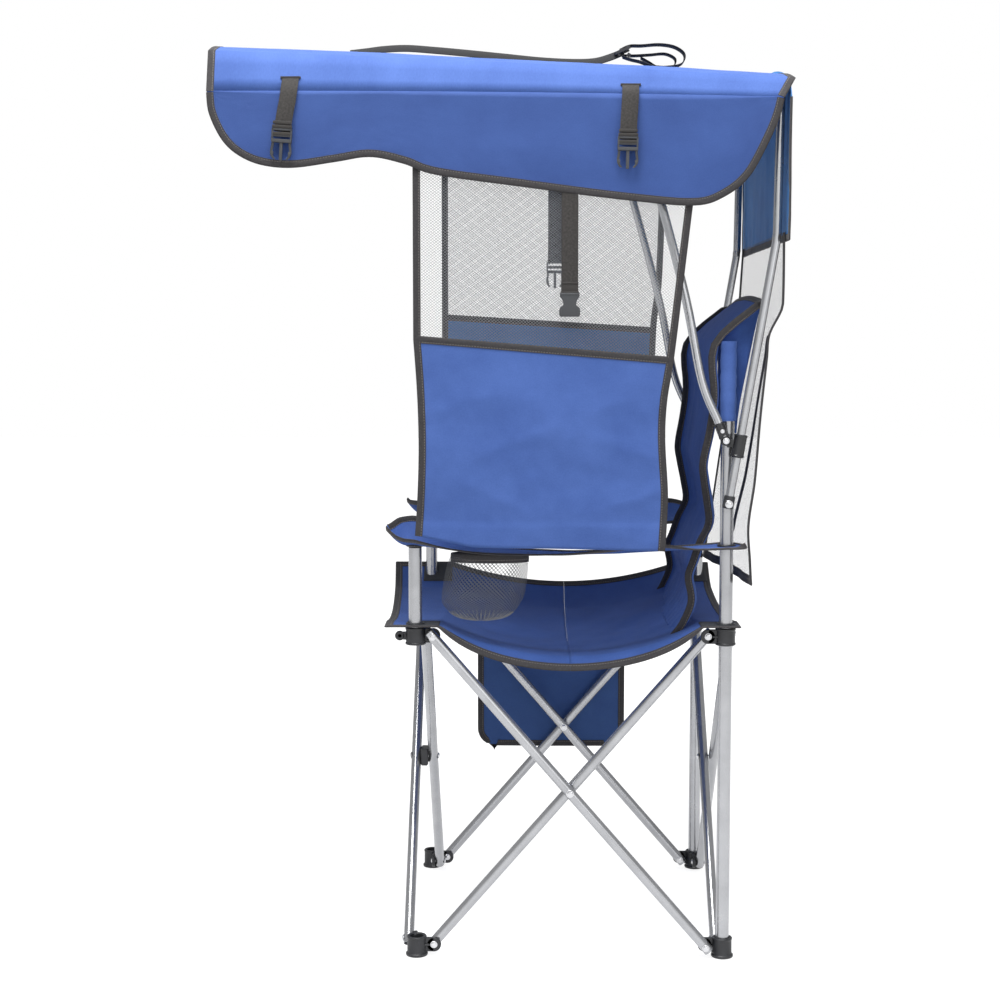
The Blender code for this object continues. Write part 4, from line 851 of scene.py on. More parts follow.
# %% Canopy fittings
GLOSSY_NYLON = grained("moulded_gloss_nylon", "#2A2B2F", "#1C1D20", 1.2 * MM, 0.0, 0.24, 0.04, 0.1, 0.1 * MM)


def sleeve(length, radius, lip=1.2 * MM, bore=TUBE_RADIUS + 0.2 * MM):
    """The profile of a moulded sleeve with a lip at each end."""
    half = [(bore, 0), (radius - lip, 0), (radius, lip), (radius, lip * 2.5), (radius - lip * 0.5, lip * 3.2)]
    return half + [(r, length - z) for r, z in reversed(half)]


def closed_cap(length, radius, lip=1.5 * MM):
    """The profile of a cap whose lower end is closed."""
    return [(0, 0), (radius - lip, 0), (radius - lip * 0.3, lip * 0.4), (radius, lip), (radius, length - lip),
            (radius - lip * 0.4, length), (TUBE_RADIUS + 0.2 * MM, length)]


CAP_RADIUS = 8.2 * MM
HEAD = 0.3 * MM
front_line = front_tube_line()
CLIMB = (front_line[1] - front_line[0]).normalized()
for side_name, side in SIDES.items():
    body = "canopy_" + side_name
    out = Vector((side, 0, 0))
    lean, climb = on_side(LEAN, side), on_side(CLIMB, side)
    pivot, clamp, elbow = (on_side(p, side) for p in (PIVOT_POINT, CLAMP_POINT, ELBOW_POINT))

    cap = started_mesh()
    add_turned(cap, closed_cap(19 * MM, CAP_RADIUS), standing(pivot - lean * 7 * MM, lean))
    add_block(cap, (CAP_RADIUS * 2, 13 * MM, 12 * MM), standing(pivot, lean), 1.6 * MM)
    piece("foot_cap_" + side_name, cap, NYLON, body, ["canopy_foot_cap_" + side_name], angle=30)

    clip = started_mesh()
    add_turned(clip, sleeve(34 * MM, CLAMP_RADIUS), standing(clamp - lean * 17 * MM, lean), 40)
    add_block(clip, (5 * MM, 16 * MM, 12 * MM), Matrix.Translation((clamp + elbow) / 2), 1 * MM)
    add_turned(clip, [(0, -2.5 * MM), (6.4 * MM, -2.5 * MM), (7 * MM, -1.8 * MM), (7 * MM, 1.8 * MM),
                      (6.4 * MM, 2.5 * MM), (0, 2.5 * MM)], standing(elbow, out), 32)
    piece("clamp_" + side_name, clip, GLOSSY_NYLON, body, ["canopy_clamp_" + side_name], angle=30)

    fork = started_mesh()
    add_turned(fork, sleeve(24 * MM, CAP_RADIUS), standing(elbow + climb * 4 * MM, climb), 32)
    for cheek in (-1, 1):
        add_turned(fork, [(0, -1.4 * MM), (6.6 * MM, -1.4 * MM), (7.4 * MM, -0.7 * MM), (7.4 * MM, 0.7 * MM),
                          (6.6 * MM, 1.4 * MM), (0, 1.4 * MM)], standing(elbow + out * cheek * 5 * MM, out), 32)
        add_block(fork, (2.8 * MM, 13 * MM, 16 * MM),
                  Matrix.Translation(out * cheek * 5 * MM) @ standing(elbow + climb * 7 * MM, climb), 0.6 * MM)
    piece("elbow_" + side_name, fork, GLOSSY_NYLON, body, ["canopy_elbow_" + side_name], angle=30)

    pin = started_mesh()
    add_rivet(pin, elbow - out * (7.2 * MM), elbow + out * (7.2 * MM), 3.8 * MM)
    add_rivet_head(pin, elbow + climb * 15 * MM + out * (CAP_RADIUS - 0.5 * MM), out, 2.4 * MM)
    piece("elbow_rivet_head_" + side_name, pin, ZINC, body, ["elbow_rivet_" + side_name])

    through = started_mesh()
    post = Vector((side * POST_X, REAR_Y, PIVOT_Z))
    add_rivet(through, post - out * (POST_RADIUS + HEAD), pivot + out * (CAP_RADIUS + HEAD), 4.4 * MM)
    add_turned(through, [(0, 0), (5.5 * MM, 0), (5.5 * MM, 1.4 * MM), (0, 1.4 * MM)],
               standing(post + out * (POST_RADIUS + RUNNING_GAP / 2), out), 28)
    piece("pivot_rivet_" + side_name, through, ZINC, f"rear_{side_name}_post",
          ["canopy_pivot_rivet_" + side_name])
print("fittings made on both sides; the canopy turns at", [round(v, 3) for v in PIVOT_POINT])

# %% [markdown]
# ## Roof
# The roof is one cloth bent over the two tubes: an arch across, straight along. Its rim is bound where it
# ends, and sewn to the valances along the sides. Real cloth is never smooth, so a little noise with a
# wavelength of a hand's width lifts it between the tubes.


# %% Roof
def unevenness(place, wavelength, height):
    """How far cloth stands off its plain shape at a place."""
    return noise.noise(Vector(place) / wavelength) * height


REAR_PULL = 13 * MM
FRONT_SAG, REAR_SAG = 11 * MM, 10 * MM


def roof_sag(x, v):
    """How far the cloth hangs below a full arch, most of it halfway between the crown and a tube."""
    across = min(1.0, abs(x) / (CANOPY_X - 2 * TUBE_RADIUS))
    return math.sin(math.pi * across) ** 2 * (FRONT_SAG + (REAR_SAG - FRONT_SAG) * v)


def roof_at(u, v):
    """The roof's surface: u across, v to the rear. Its rear corners are drawn in below and flare above."""
    x, y = (2 * u - 1) * ROOF_X, ROOF_LOW.y + ROOF_LENGTH * v
    inside_tubes = min(1.0, max(0.0, (1 - abs(2 * u - 1) - 0.16) * 5))
    pucker = unevenness((x * 0.7, y, 0), 110 * MM, 2.2 * MM) + unevenness((x, y, 3), 36 * MM, 0.5 * MM)
    flare = 5 * MM * min(1.0, abs(x) / (ROOF_X - ROOF_STRIP)) ** 6
    pulled_in = (REAR_PULL + 5 * MM) * max(0.0, (abs(x) - ROOF_X + ROOF_STRIP) / ROOF_STRIP)
    return x, y + (flare - pulled_in) * v ** 8, roof_height(x, y) - roof_sag(x, v) + pucker * inside_tubes


def along_cloth(count, fixed, axis):
    """A line of (u, v) along one edge of a sheet."""
    return [(s, fixed) if axis == 0 else (fixed, s) for s in share_line(count)]


roof = cloth("roof_cloth", roof_at, 84, 96, (0.73, ROOF_LENGTH), "canopy_left", ["roof"], ROOF_GATHER)
for end, inner in (("front", 1), ("rear", -1)):
    place = 0 if end == "front" else 1
    edge_binding("roof_binding_" + end, roof_at, along_cloth(84, place, 0), [(0, inner)] * 85, "canopy_left",
                 ROOF_GATHER)

# %% [markdown]
# ## Valances
# A side valance hangs from each roof edge and is cut in a long wave, deep at the rear. Its lower edge is
# bound. The rear valance is straight, and its coated side faces the sitter.

# %% Valances
VALANCE_LINE = smooth_line([(0, y, z) for y, z in (
    (-.417, 1.2815), (-.4135, 1.252), (-.396, 1.216), (-.373, 1.194), (-.340, 1.180), (-.295, 1.176),
    (-.235, 1.184), (-.184, 1.191), (-.135, 1.181), (-.091, 1.166), (.030, 1.149), (.188, 1.129),
    (.278, 1.122), (.320, 1.134), (.356, 1.163), (.384, 1.214), (.398, 1.248), (.404, 1.2715))], 6)


def place_on(line, share):
    """The point at a share of a line's length."""
    steps = [(b - a).length for a, b in zip(line, line[1:])]
    left = share * sum(steps)
    for a, b, step in zip(line, line[1:], steps):
        if left <= step:
            return a.lerp(b, left / max(step, 1e-9))
        left -= step
    return line[-1].copy()


SHORT_SHARE = 36 / 161


def valance_at(side):
    """The side valance's surface: u along it, v down from the roof's edge. The right one is a short flap."""
    def surface(u, v):
        low = place_on(VALANCE_LINE, u)
        if side < 0:
            low.z = ROOF_EDGE_Z - (ROOF_EDGE_Z - low.z) * SHORT_SHARE
        y = ROOF_LOW.y + ROOF_LENGTH * u
        top = Vector((0, y - REAR_PULL * u ** 8, roof_height(ROOF_X, y) + 0.7 * MM))
        spot = top.lerp(low, v)
        hang = min(1.0, max(0.0, (top.z - spot.z) / (80 * MM)))
        stand = 1.6 * MM * hang + unevenness((spot.y, spot.z, side), 120 * MM, 2.4 * MM) * hang + 1.0 * MM * hang
        return side * (ROOF_X + stand), spot.y, spot.z
    return surface


for side_name, side in SIDES.items():
    surface = valance_at(side)
    # The side valances use the darker valance cloth, which is painted shade.
    finish = (COATED_BACK_WITH_PAINTED_LIGHT, SHADED_VALANCE_OXFORD) if side > 0 else (SHADED_VALANCE_OXFORD, COATED_BACK_WITH_PAINTED_LIGHT)
    deep, area = (0.161, 0.097) if side > 0 else (0.036, 0.0175)
    valance = cloth("valance_cloth_" + side_name, surface, 110, 18, (0.92, deep), "canopy_" + side_name,
                    ["valance_" + side_name], None, finish)
    edge_binding("valance_binding_" + side_name, surface, along_cloth(150, 1, 0), [(0, -1)] * 151,
                 "canopy_" + side_name)

REAR_VALANCE_BOTTOM = 1073 * MM
REAR_Y_OF_ROOF = ROOF_HIGH.y - 1.2 * MM


def rear_valance_at(u, v):
    """The rear valance: u across, v up."""
    x = (2 * u - 1) * (ROOF_X - 1.5 * MM)
    top = roof_height(x, ROOF_HIGH.y) - 1 * MM
    fold = unevenness((x * 1.6, v * 0.1, 5), 60 * MM, 5 * MM) * (1 - v)
    return x, REAR_Y_OF_ROOF - abs(fold), REAR_VALANCE_BOTTOM + (top - REAR_VALANCE_BOTTOM) * v


rear_valance = cloth("valance_cloth_rear", rear_valance_at, 60, 30, (0.567, 0.26), "canopy_left", ["valance_rear"],
                     ROOF_GATHER, (COATED_BACK_WITH_PAINTED_LIGHT, OXFORD))
edge_binding("valance_binding_rear", rear_valance_at, along_cloth(60, 0, 0), [(0, 1)] * 61, "canopy_left",
             ROOF_GATHER)
for side_name, place, inner in (("left", 1, -1), ("right", 0, 1)):
    edge_binding("rear_corner_binding_" + side_name, rear_valance_at, along_cloth(40, place, 1), [(inner, 0)] * 41,
                 "canopy_left", ROOF_GATHER)

# %% [markdown]
# ## Nets
# The net is knitted in diamonds. A picture of holes would fail from close by and in the exported mesh, so
# each thread is real: a grid turned by 45 degrees is cut to the opening, every cell is inset by half a
# thread, and the insides are taken away. The real net's holes are 3 mm; here they are 4.4 mm.


# %% Nets
def net(name, surface, size, body, squash=None, pitch=4.2 * MM, thread=0.5 * MM, replaces=(), material=NET_THREAD):
    """A diamond net over surface(u, v), size metres wide and high."""
    bm = started_mesh()
    layer = bm.verts.layers.float_vector["cloth"]
    half = (size[0] + size[1]) / 2
    count = math.ceil(2 * half / pitch)
    flat = Matrix.Diagonal((1.08, 0.92, 1, 1)) @ Matrix.Rotation(math.radians(45), 4, "Z")
    bmesh.ops.create_grid(bm, x_segments=count, y_segments=count, size=half * 0.76, matrix=flat)
    for across, up in ((1, 0), (-1, 0), (0, 1), (0, -1)):
        bmesh.ops.bisect_plane(bm, geom=[*bm.verts, *bm.edges, *bm.faces], clear_outer=True,
                               plane_co=(across * size[0] / 2, up * size[1] / 2, 0), plane_no=(across, up, 0))
    whole = max(f.calc_area() for f in bm.faces)
    open_cells = [f for f in bm.faces if f.calc_area() > whole * 0.2]
    bmesh.ops.inset_individual(bm, faces=open_cells, thickness=thread / 2, use_even_offset=True)
    bmesh.ops.delete(bm, geom=open_cells, context="FACES")
    for vert in bm.verts:
        u, v = vert.co.x / size[0] + 0.5, vert.co.y / size[1] + 0.5
        vert[layer] = (u * size[0], v * size[1], 0)
        vert.co = Vector(surface(u, v))
    return piece(name, bm, material, body, replaces, squash, angle=180)


# %% [markdown]
# ## Side panels
# A panel hangs inside each valance: a net window above and a blue apron below, both between bound edges.
# The coated side of the far panel faces the camera, so it looks darker and greener than the near one; its colour
# is lifted with painted light.

# %% Side panels
PANEL_X = ROOF_X - 1.8 * MM
# heights at shares of the panel's width, from its front edge to its rear one
APRON_TOP = {"left": ((0, .935), (1, .904)), "right": ((0, .973), (1, .950))}
APRON_BOTTOM = ((0, .645), (.15, .6345), (.24, .6285), (.56, .6265), (1, .623))
WINDOW_TOP = {"left": ((0, 1.236), (1, 1.236)), "right": ((0, 1.262), (1, 1.262))}
# (height, Y) of each rear edge
PANEL_REAR = {"left": ((.62, .2400), (.70, .2437), (.785, .239), (.84, .241), (.90, .2500), (1.03, .265),
                       (1.13, .2765), (1.24, .29)),
              "right": ((.62, .262), (.75, .261), (.95, .265), (1.03, .274), (1.27, .281))}
HEM_TOP = 664 * MM


def value_along(places, at):
    """The value at a place on a smooth line through (place, value) pairs."""
    def slope(k):
        (p0, v0), (p1, v1) = places[max(k - 1, 0)], places[min(k + 1, len(places) - 1)]
        return (v1 - v0) / (p1 - p0)

    for k, ((p0, v0), (p1, v1)) in enumerate(zip(places, places[1:])):
        if at <= p1 or k == len(places) - 2:
            run = p1 - p0
            t = min(1.0, max(0.0, (at - p0) / run))
            return ((1 + 2 * t) * v0 + t * slope(k) * run) * (1 - t) ** 2 + (
                (3 - 2 * t) * v1 + (t - 1) * slope(k + 1) * run) * t ** 2


def panel_front(side_name, z):
    bow = math.sin(math.pi * min(1.0, max(0.0, (z - 0.63) / 0.30)))
    return (-123 if side_name == "left" else -108) * MM + 7 * MM * bow


def panel_at(side_name, low, high):
    """Part of a side panel between two lines of heights at its front and rear: u to the rear, v up."""
    side = SIDES[side_name]

    def surface(u, v):
        z = value_along(low, u) * (1 - v) + value_along(high, u) * v
        front = panel_front(side_name, z)
        y = front + (value_along(PANEL_REAR[side_name], z) - front) * u
        hem = 0.9 * MM * min(1.0, max(0.0, (HEM_TOP - z) / (4 * MM)))
        below = max(0.0, (0.935 - z) / 0.31)
        belly = 5 * MM * math.sin(math.pi * min(1.0, below)) * math.sin(math.pi * u)
        roll = unevenness((y * 0.45, z, side), 85 * MM, 4.5 * MM) * min(1.0, below * 2.5)
        crease = unevenness((y + z * 0.6, z - y * 0.6, side + 7), 26 * MM, 0.7 * MM) * min(1.0, below * 3)
        return side * (PANEL_X - 4 * MM * below + belly - abs(roll) + crease + hem), y, z
    return surface


for side_name, side in SIDES.items():
    body = "canopy_" + side_name
    apron = panel_at(side_name, APRON_BOTTOM, APRON_TOP[side_name])
    finish = (OXFORD, COATED_BACK_WITH_PAINTED_LIGHT) if side > 0 else (COATED_BACK_WITH_PAINTED_LIGHT, OXFORD)
    sheet = cloth("side_apron_" + side_name, apron, 80, 66, (0.368, 0.30), body, ["side_panel_" + side_name], None,
                  finish)
    window = panel_at(side_name, APRON_TOP[side_name], WINDOW_TOP[side_name])
    window_net = net("window_net_" + side_name, window, (0.372, 0.31), body)
    for end, place, inner in (("front", 0, 1), ("rear", 1, -1)):
        for part, surface, count in (("apron", apron, 60), ("window", window, 40)):
            edge_binding(f"{part}_binding_{end}_{side_name}", surface, along_cloth(count, place, 1),
                         [(inner, 0)] * (count + 1), body)
    edge_binding("window_sill_binding_" + side_name, apron, along_cloth(60, 1, 0), [(0, -1)] * 61, body)

# %% [markdown]
# ## Rear net
# A long net hangs behind the chair from the rear valance, bound at its sides and hemmed at the bottom.

# %% Rear net
NET_HALF_WIDTH = 252 * MM
# (height, Y) of its near and far edges
NEAR_EDGE = ((.570, .371), (.605, .369), (.656, .366), (.7225, .3745), (.817, .3815), (.905, .390), (.938, .393),
             (.974, .4105), (.993, .4125), (1.085, .4125))
FAR_EDGE = ((.552, .349), (.62, .360), (.72, .374), (.82, .388), (.93, .402), (1.085, .4125))


def rear_net_at(u, v):
    """The rear net: u across, v up. Its far edge hangs straight and its near edge swings in."""
    bottom = FAR_EDGE[0][0] + (NEAR_EDGE[0][0] - FAR_EDGE[0][0]) * u
    z = bottom + (NEAR_EDGE[-1][0] - bottom) * v
    x = (2 * u - 1) * NET_HALF_WIDTH
    y = value_along(FAR_EDGE, z) * (1 - u) + value_along(NEAR_EDGE, z) * u
    return x, y + (1 - v) * (1 - abs(2 * u - 1)) * unevenness((x, v * 0.15, 9), 70 * MM, 9 * MM), z


rear_net = net("rear_net_threads", rear_net_at, (0.504, 0.54), "canopy_left", ROOF_GATHER, 4.8 * MM, 0.7 * MM,
               ["rear_net"], REAR_THREAD)
for side_name, place, inner in (("left", 1, -1), ("right", 0, 1)):
    edge_binding("rear_net_binding_" + side_name, rear_net_at, along_cloth(60, place, 1), [(inner, 0)] * 61,
                 "canopy_left", ROOF_GATHER)
edge_binding("rear_net_hem", rear_net_at, along_cloth(60, 0, 0), [(0, 1)] * 61, "canopy_left", ROOF_GATHER,
             13 * MM)
brace = smooth_line([(u, v, 0) for u, v in ((.985, .70), (.93, .60), (.86, .48), (.80, .36), (.76, .27), (.70, .19),
                                            (.60, .13), (.48, .11))], 8)
edge_binding("rear_net_brace", rear_net_at, [(p.x, p.y) for p in brace], [(-1, 0.6)] * len(brace), "canopy_left",
             ROOF_GATHER, 13 * MM)

# %% [markdown]
# ## Back
# The back is a sling: sleeved on the posts at the top, free below, and tucked behind the seat. Between the
# posts it bellies to the rear. The bindings run down both edges and over the top.

# %% Back
BACK_SHAPE = smooth_line([(y, z, w) for z, y, w in (
    (.480, .262, .200), (.4985, .276, .204), (.5126, .284, .206), (.541, .294, .206), (.5753, .289, .203),
    (.600, .297, .198), (.629, .307, .197), (.6566, .3195, .197), (.6865, .3165, .202), (.723, .310, .214),
    (.751, .3075, .226), (.800, .3165, .2355), (.850, .3218, .2355), (.925, .3222, .2355), (.984, .386, .2355))], 4)
EDGE_CURL = 11 * MM


def back_at(u, v):
    """The back: u across, v up."""
    spot = BACK_SHAPE[0]
    place = v * (len(BACK_SHAPE) - 1)
    step = min(int(place), len(BACK_SHAPE) - 2)
    spot = BACK_SHAPE[step].lerp(BACK_SHAPE[step + 1], place - step)
    y, z, half_width = spot
    across = 2 * u - 1
    belly = 9 * MM * (1 - across ** 2) * math.sin(math.pi * min(1.0, v * 1.1))
    low = max(0.0, 1 - v * 1.7)
    fold = unevenness((across * 0.3, z, 1), 60 * MM, 3.5 * MM) + 3 * MM * low * math.sin(across * 21 + z * 26)
    fold *= min(1.0, (1 - abs(across)) * 4)
    lift = 14 * MM * (1 - across ** 2) * v ** 7
    curl = max(0.0, (abs(across) - 0.93) / 0.07)
    x = math.copysign(min(abs(across), 0.945), across) * half_width / 0.945
    return x, y + belly + abs(fold) - EDGE_CURL * curl ** 1.3, z + lift


# The back's face uses the darker seat cloth, which is painted shade.
back = cloth("back_cloth", back_at, 90, 110, (0.46, 0.55), "rear_left_post", ["backrest"], SEAT_GATHER,
             (SHADED_SEAT_OXFORD, OXFORD))
for side_name, place, inner in (("left", 1, -1), ("right", 0, 1)):
    edge_binding("back_binding_" + side_name, back_at, along_cloth(110, place, 1), [(inner, 0)] * 111,
                 "rear_left_post", SEAT_GATHER)
edge_binding("back_binding_top", back_at, along_cloth(60, 1, 0), [(0, -1)] * 61, "rear_left_post", SEAT_GATHER)

for side_name, side in SIDES.items():
    low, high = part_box("back_sleeve_" + side_name)
    middle_x, middle_y = (low.x + high.x) / 2, (low.y + high.y) / 2
    height = high.z - low.z
    rings = [(11.9 * MM + 0.7 * MM * math.sin(k * 2.1) * math.sin(k * 0.7), height * k / 18) for k in range(19)]
    wrap = started_mesh()
    layer = wrap.verts.layers.float_vector["cloth"]
    add_turned(wrap, [(10.1 * MM, 0), *rings, (10.1 * MM, height)], Matrix.Translation((middle_x, middle_y, low.z)))
    for vert in wrap.verts:
        turn = math.atan2(vert.co.y - middle_y, vert.co.x - middle_x)
        vert[layer] = (turn * 12 * MM, vert.co.z, 0)
    piece("post_sleeve_" + side_name, wrap, OXFORD, f"rear_{side_name}_post",
          ["back_sleeve_" + side_name], angle=60)

    def wing_at(u, v, side=side):
        """The flap behind the sleeve, from the back's edge to the line of its top corner."""
        z = 792 * MM + (980 * MM - 792 * MM) * v
        rear = 350 * MM + 34 * MM * v ** 1.3
        y = (322 * MM + 60 * MM * max(0.0, v - 0.72) / 0.28) * (1 - u) + rear * u
        return side * (219 * MM + 3 * MM * math.sin(v * 9 + u * 3)), y, z

    # Both faces of the flap use the darker seat cloth, which is painted shade.
    wing = cloth("back_wing_" + side_name, wing_at, 10, 40, (0.05, 0.19), f"rear_{side_name}_post", (), None,
                 (SHADED_SEAT_OXFORD, SHADED_SEAT_OXFORD))

# %% [markdown]
# ## Seat
# The seat hangs from the four hubs and sags along its sides. It folds across the middle, so it is two
# halves that meet in a crease, and each half swings on its hinge as the frame closes.

# %% Seat
SEAT_TOP = 506.5 * MM
SEAT_HALF_WIDTH = 250 * MM
SEAT_FRONT, SEAT_REAR = -170 * MM, 356 * MM
LEVEL_FROM = HALF_SPAN - PIVOT_INSET - 9 * MM


def seat_height(x, y):
    """The seat's height: level at the hubs, sagging between them, with its far edge turned up."""
    u, v = min(abs(x) / LEVEL_FROM, 1.0), min(abs(y - MID_Y) / LEVEL_FROM, 1.0)
    sag = (41 + 7 * x / SEAT_HALF_WIDTH) * MM * (1 - v ** 2)
    turned_up = max(0.0, (-x - 185 * MM) / (65 * MM)) ** 1.6 * 34 * MM
    hem = max(0.0, (x - 231 * MM) / (19 * MM)) ** 1.5 * 17 * MM * (1 - v ** 6)
    waves = unevenness((x * 0.8, y * 0.8, 2), 75 * MM, 5 * MM) * (1 - v ** 2) * (1 - u ** 4)
    pulled = 1.6 * MM * math.sin((x * 0.8 + y) * 95) * (1 - v ** 2) * (1 - u ** 2) * max(0.0, (y - MID_Y) / HALF_SPAN)
    return SEAT_TOP - sag - 14 * MM * (1 - u ** 2) + turned_up - hem + waves + pulled


def seat_at(y_from, y_to):
    """Half of the seat. Its front edge runs a little further forward at the far side."""
    def surface(u, v):
        x = (2 * u - 1) * SEAT_HALF_WIDTH
        flare = 19 * MM * (1 - u) ** 1.5 * (1 - v) if y_from == SEAT_FRONT else 0.0
        y = y_from + (y_to - y_from) * v - flare
        return x, y, seat_height(x, y)
    return surface


SEAT_SPLIT = MID_Y
SEAT_HALVES = {"front": (SEAT_FRONT, SEAT_SPLIT - 0.1 * MM), "rear": (SEAT_SPLIT + 0.1 * MM, SEAT_REAR)}
for end, (y_from, y_to) in SEAT_HALVES.items():
    surface, body = seat_at(y_from, y_to), "seat_" + end
    # Each seat half's top face uses the darker seat cloth, which is painted shade.
    half = cloth("seat_cloth_" + end, surface, 90, 60, (0.50, y_to - y_from), body, [f"seat_{end}_panel"],
                 SEAT_GATHER, (SHADED_SEAT_OXFORD, OXFORD))
    for side_name, place, inner in (("left", 1, -1), ("right", 0, 1)):
        edge_binding(f"seat_binding_{end}_{side_name}", surface, along_cloth(60, place, 1), [(inner, 0)] * 61, body,
                     SEAT_GATHER, 11 * MM)
    place = 0 if end == "front" else 1
    edge_binding(f"seat_binding_{end}", surface, along_cloth(70, place, 0), [(0, 1 - 2 * place)] * 71, body,
                 SEAT_GATHER, 11 * MM)

# %% [markdown]
# ## Seat corners
# Each corner is doubled with a black patch that the post stands through, sewn round and across.

# %% Seat corners
PATCH = woven_cloth("black_polyester_patch", "#45464A", "#2B2C2F", sheen=0.05)
for corner, (side_x, side_y) in CORNERS.items():
    end = corner.split("_")[0]
    x_from, x_to = sorted((side_x * 246 * MM, side_x * 206 * MM))
    reach = (FRONT_Y - 13 * MM, FRONT_Y + 36 * MM) if side_y < 0 else (SEAT_REAR - 58 * MM, SEAT_REAR - 4 * MM)

    def patch_at(u, v, x_from=x_from, x_to=x_to, reach=reach):
        x, y = x_from + (x_to - x_from) * u, reach[0] + (reach[1] - reach[0]) * v
        return x, y, seat_height(x, y) + 1.4 * MM

    patch = cloth("seat_patch_" + corner, patch_at, 16, 16, (0.042, reach[1] - reach[0]), "seat_" + end, (),
                  SEAT_GATHER, (PATCH, PATCH))
    ring = started_mesh()
    centre = Vector((side_x * POST_X, MID_Y + side_y * HALF_SPAN, SEAT_TOP + 2 * MM))
    turns = [centre + Vector((12.4 * MM * math.cos(a), 12.4 * MM * math.sin(a), 0))
             for a in (2 * math.pi * k / 32 for k in range(33))]
    add_tube(ring, turns, 1.9 * MM, 10)
    piece("seat_grommet_" + corner, ring, NYLON, "seat_" + end, (), SEAT_GATHER)

# %% [markdown]
# ## Arms
# Each arm is a narrow cloth from the front post's cap to a grommet round the back post. It sags between
# them, and its front tip turns up.

# %% Arms
ARM_TOP = 625.5 * MM
ARM_FRONT, ARM_REAR = -168 * MM, 365 * MM
# how far the edges of an arm stand above its middle, as (Y, height): its cloth curls up where it is loose
CURLS = {
    ("left", "outer"): ((-.168, .006), (-.145, .012), (-.126, .011), (-.08, .004), (0, -.001), (.06, .002),
                        (.15, .008), (.235, .013), (.29, .002), (.365, -.002)),
    ("left", "inner"): ((-.168, .006), (-.150, .034), (-.126, .040), (-.075, .022), (0, .004), (.336, .002),
                        (.365, 0)),
    ("right", "outer"): ((-.168, .006), (-.126, .012), (0, .006), (.10, .010), (.22, .030), (.288, .031),
                         (.325, .018), (.345, .003), (.365, 0)),
    ("right", "inner"): ((-.168, .006), (-.150, .022), (-.126, .026), (-.06, .008), (.10, -.003), (.29, -.006),
                         (.336, -.002), (.365, 0)),
}


def arm_at(side_name):
    """An arm's surface: u across, towards +X, and v to the rear."""
    side = SIDES[side_name]

    def surface(u, v):
        y = ARM_FRONT + (ARM_REAR - ARM_FRONT) * v
        run = min(abs(y - MID_Y) / HALF_SPAN, 1.0)
        tip = max(0.0, (MID_Y - HALF_SPAN - POST_RADIUS - y) / (34 * MM))
        heel = max(0.0, (y - (ARM_REAR - 24 * MM)) / (24 * MM))
        half_width = 30 * MM * (1 - 0.82 * tip ** 2) * math.sqrt(max(0.02, 1 - heel ** 2 * 0.97))
        across = 2 * u - 1
        edge = "outer" if across * side > 0 else "inner"
        curl = value_along(CURLS[side_name, edge], y) * abs(across) ** 1.6
        dip = unevenness((y, across * 0.02, side), 60 * MM, 2.4 * MM) * (1 - run ** 2)
        z = ARM_TOP - 12 * MM * (1 - run ** 2) + 26 * MM * tip ** 2 + curl + dip
        return side * POST_X + across * half_width, y, z
    return surface


ARM_TILT = math.radians(20.05)
for side_name, side in SIDES.items():
    body = f"front_{side_name}_hub"
    surface = arm_at(side_name)
    gather = {"joint": "fold", "axis": (0, math.cos(ARM_TILT), math.sin(ARM_TILT)),
              "anchor": (0, FRONT_Y, ARM_TOP), "keep": 0.261}
    # The arm's second face uses the darker seat cloth, which is painted shade.
    arm = cloth("arm_cloth_" + side_name, surface, 24, 150, (0.06, 0.535), body, ["armrest_" + side_name], gather,
                (OXFORD, SHADED_SEAT_OXFORD))
    for edge_name, place, inner in (("a", 1, -1), ("b", 0, 1)):
        edge_binding(f"arm_binding_{edge_name}_{side_name}", surface, along_cloth(150, place, 1),
                     [(inner, 0)] * 151, body, gather, 8 * MM)
    for at_name, y in (("front", MID_Y - HALF_SPAN), ("rear", MID_Y + HALF_SPAN)):
        ring = started_mesh()
        centre = Vector((side * POST_X, y, ARM_TOP + 0.6 * MM))
        turns = [centre + Vector((12.2 * MM * math.cos(a), 12.2 * MM * math.sin(a), 0))
                 for a in (2 * math.pi * k / 32 for k in range(33))]
        add_tube(ring, turns, 2.0 * MM, 10)
        if at_name == "front":
            add_turned(ring, [(0, 2.6 * MM), (8 * MM, 2.4 * MM), (11 * MM, 1.2 * MM), (11.5 * MM, 0)],
                       Matrix.Translation(centre), 28)
        piece(f"arm_grommet_{at_name}_{side_name}", ring, NYLON, body, (), gather)

# %% [markdown]
# ## Cup holder
# A net bag hangs under the left arm from a bound rim, and its floor is gathered.

# %% Cup holder
CUP_LOW, CUP_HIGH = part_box("cup_holder")
CUP_MIDDLE = (CUP_LOW + CUP_HIGH) / 2
CUP_TOP = CUP_HIGH.z
CUP_RINGS = smooth_line([(d, s, 0) for d, s in ((0, .92), (.2, .98), (.45, 1.0), (.66, .98), (.80, .88), (.91, .70),
                                                (.97, .48), (1, .20))], 4)
CUP_GATHER = {"joint": "fold", "axis": (0, 1, 0), "anchor": (0, FRONT_Y, 0), "keep": 0.348}


def cup_at(u, v):
    """The cup's net wall: u round it, v down."""
    place = v * (len(CUP_RINGS) - 1)
    step = min(int(place), len(CUP_RINGS) - 2)
    depth, share, _ = CUP_RINGS[step].lerp(CUP_RINGS[step + 1], place - step)
    turn = 2 * math.pi * u
    pleat = 1 + 0.045 * math.sin(turn * 14) * max(0.0, v - 0.55) / 0.45
    lean = 6 * MM - 13 * MM * min(1.0, v * 2)
    return (POST_X + math.sin(turn) * 25 * MM * share * pleat,
            CUP_MIDDLE.y + lean + math.cos(turn) * 62 * MM * share * pleat, CUP_TOP - 100 * MM * depth)


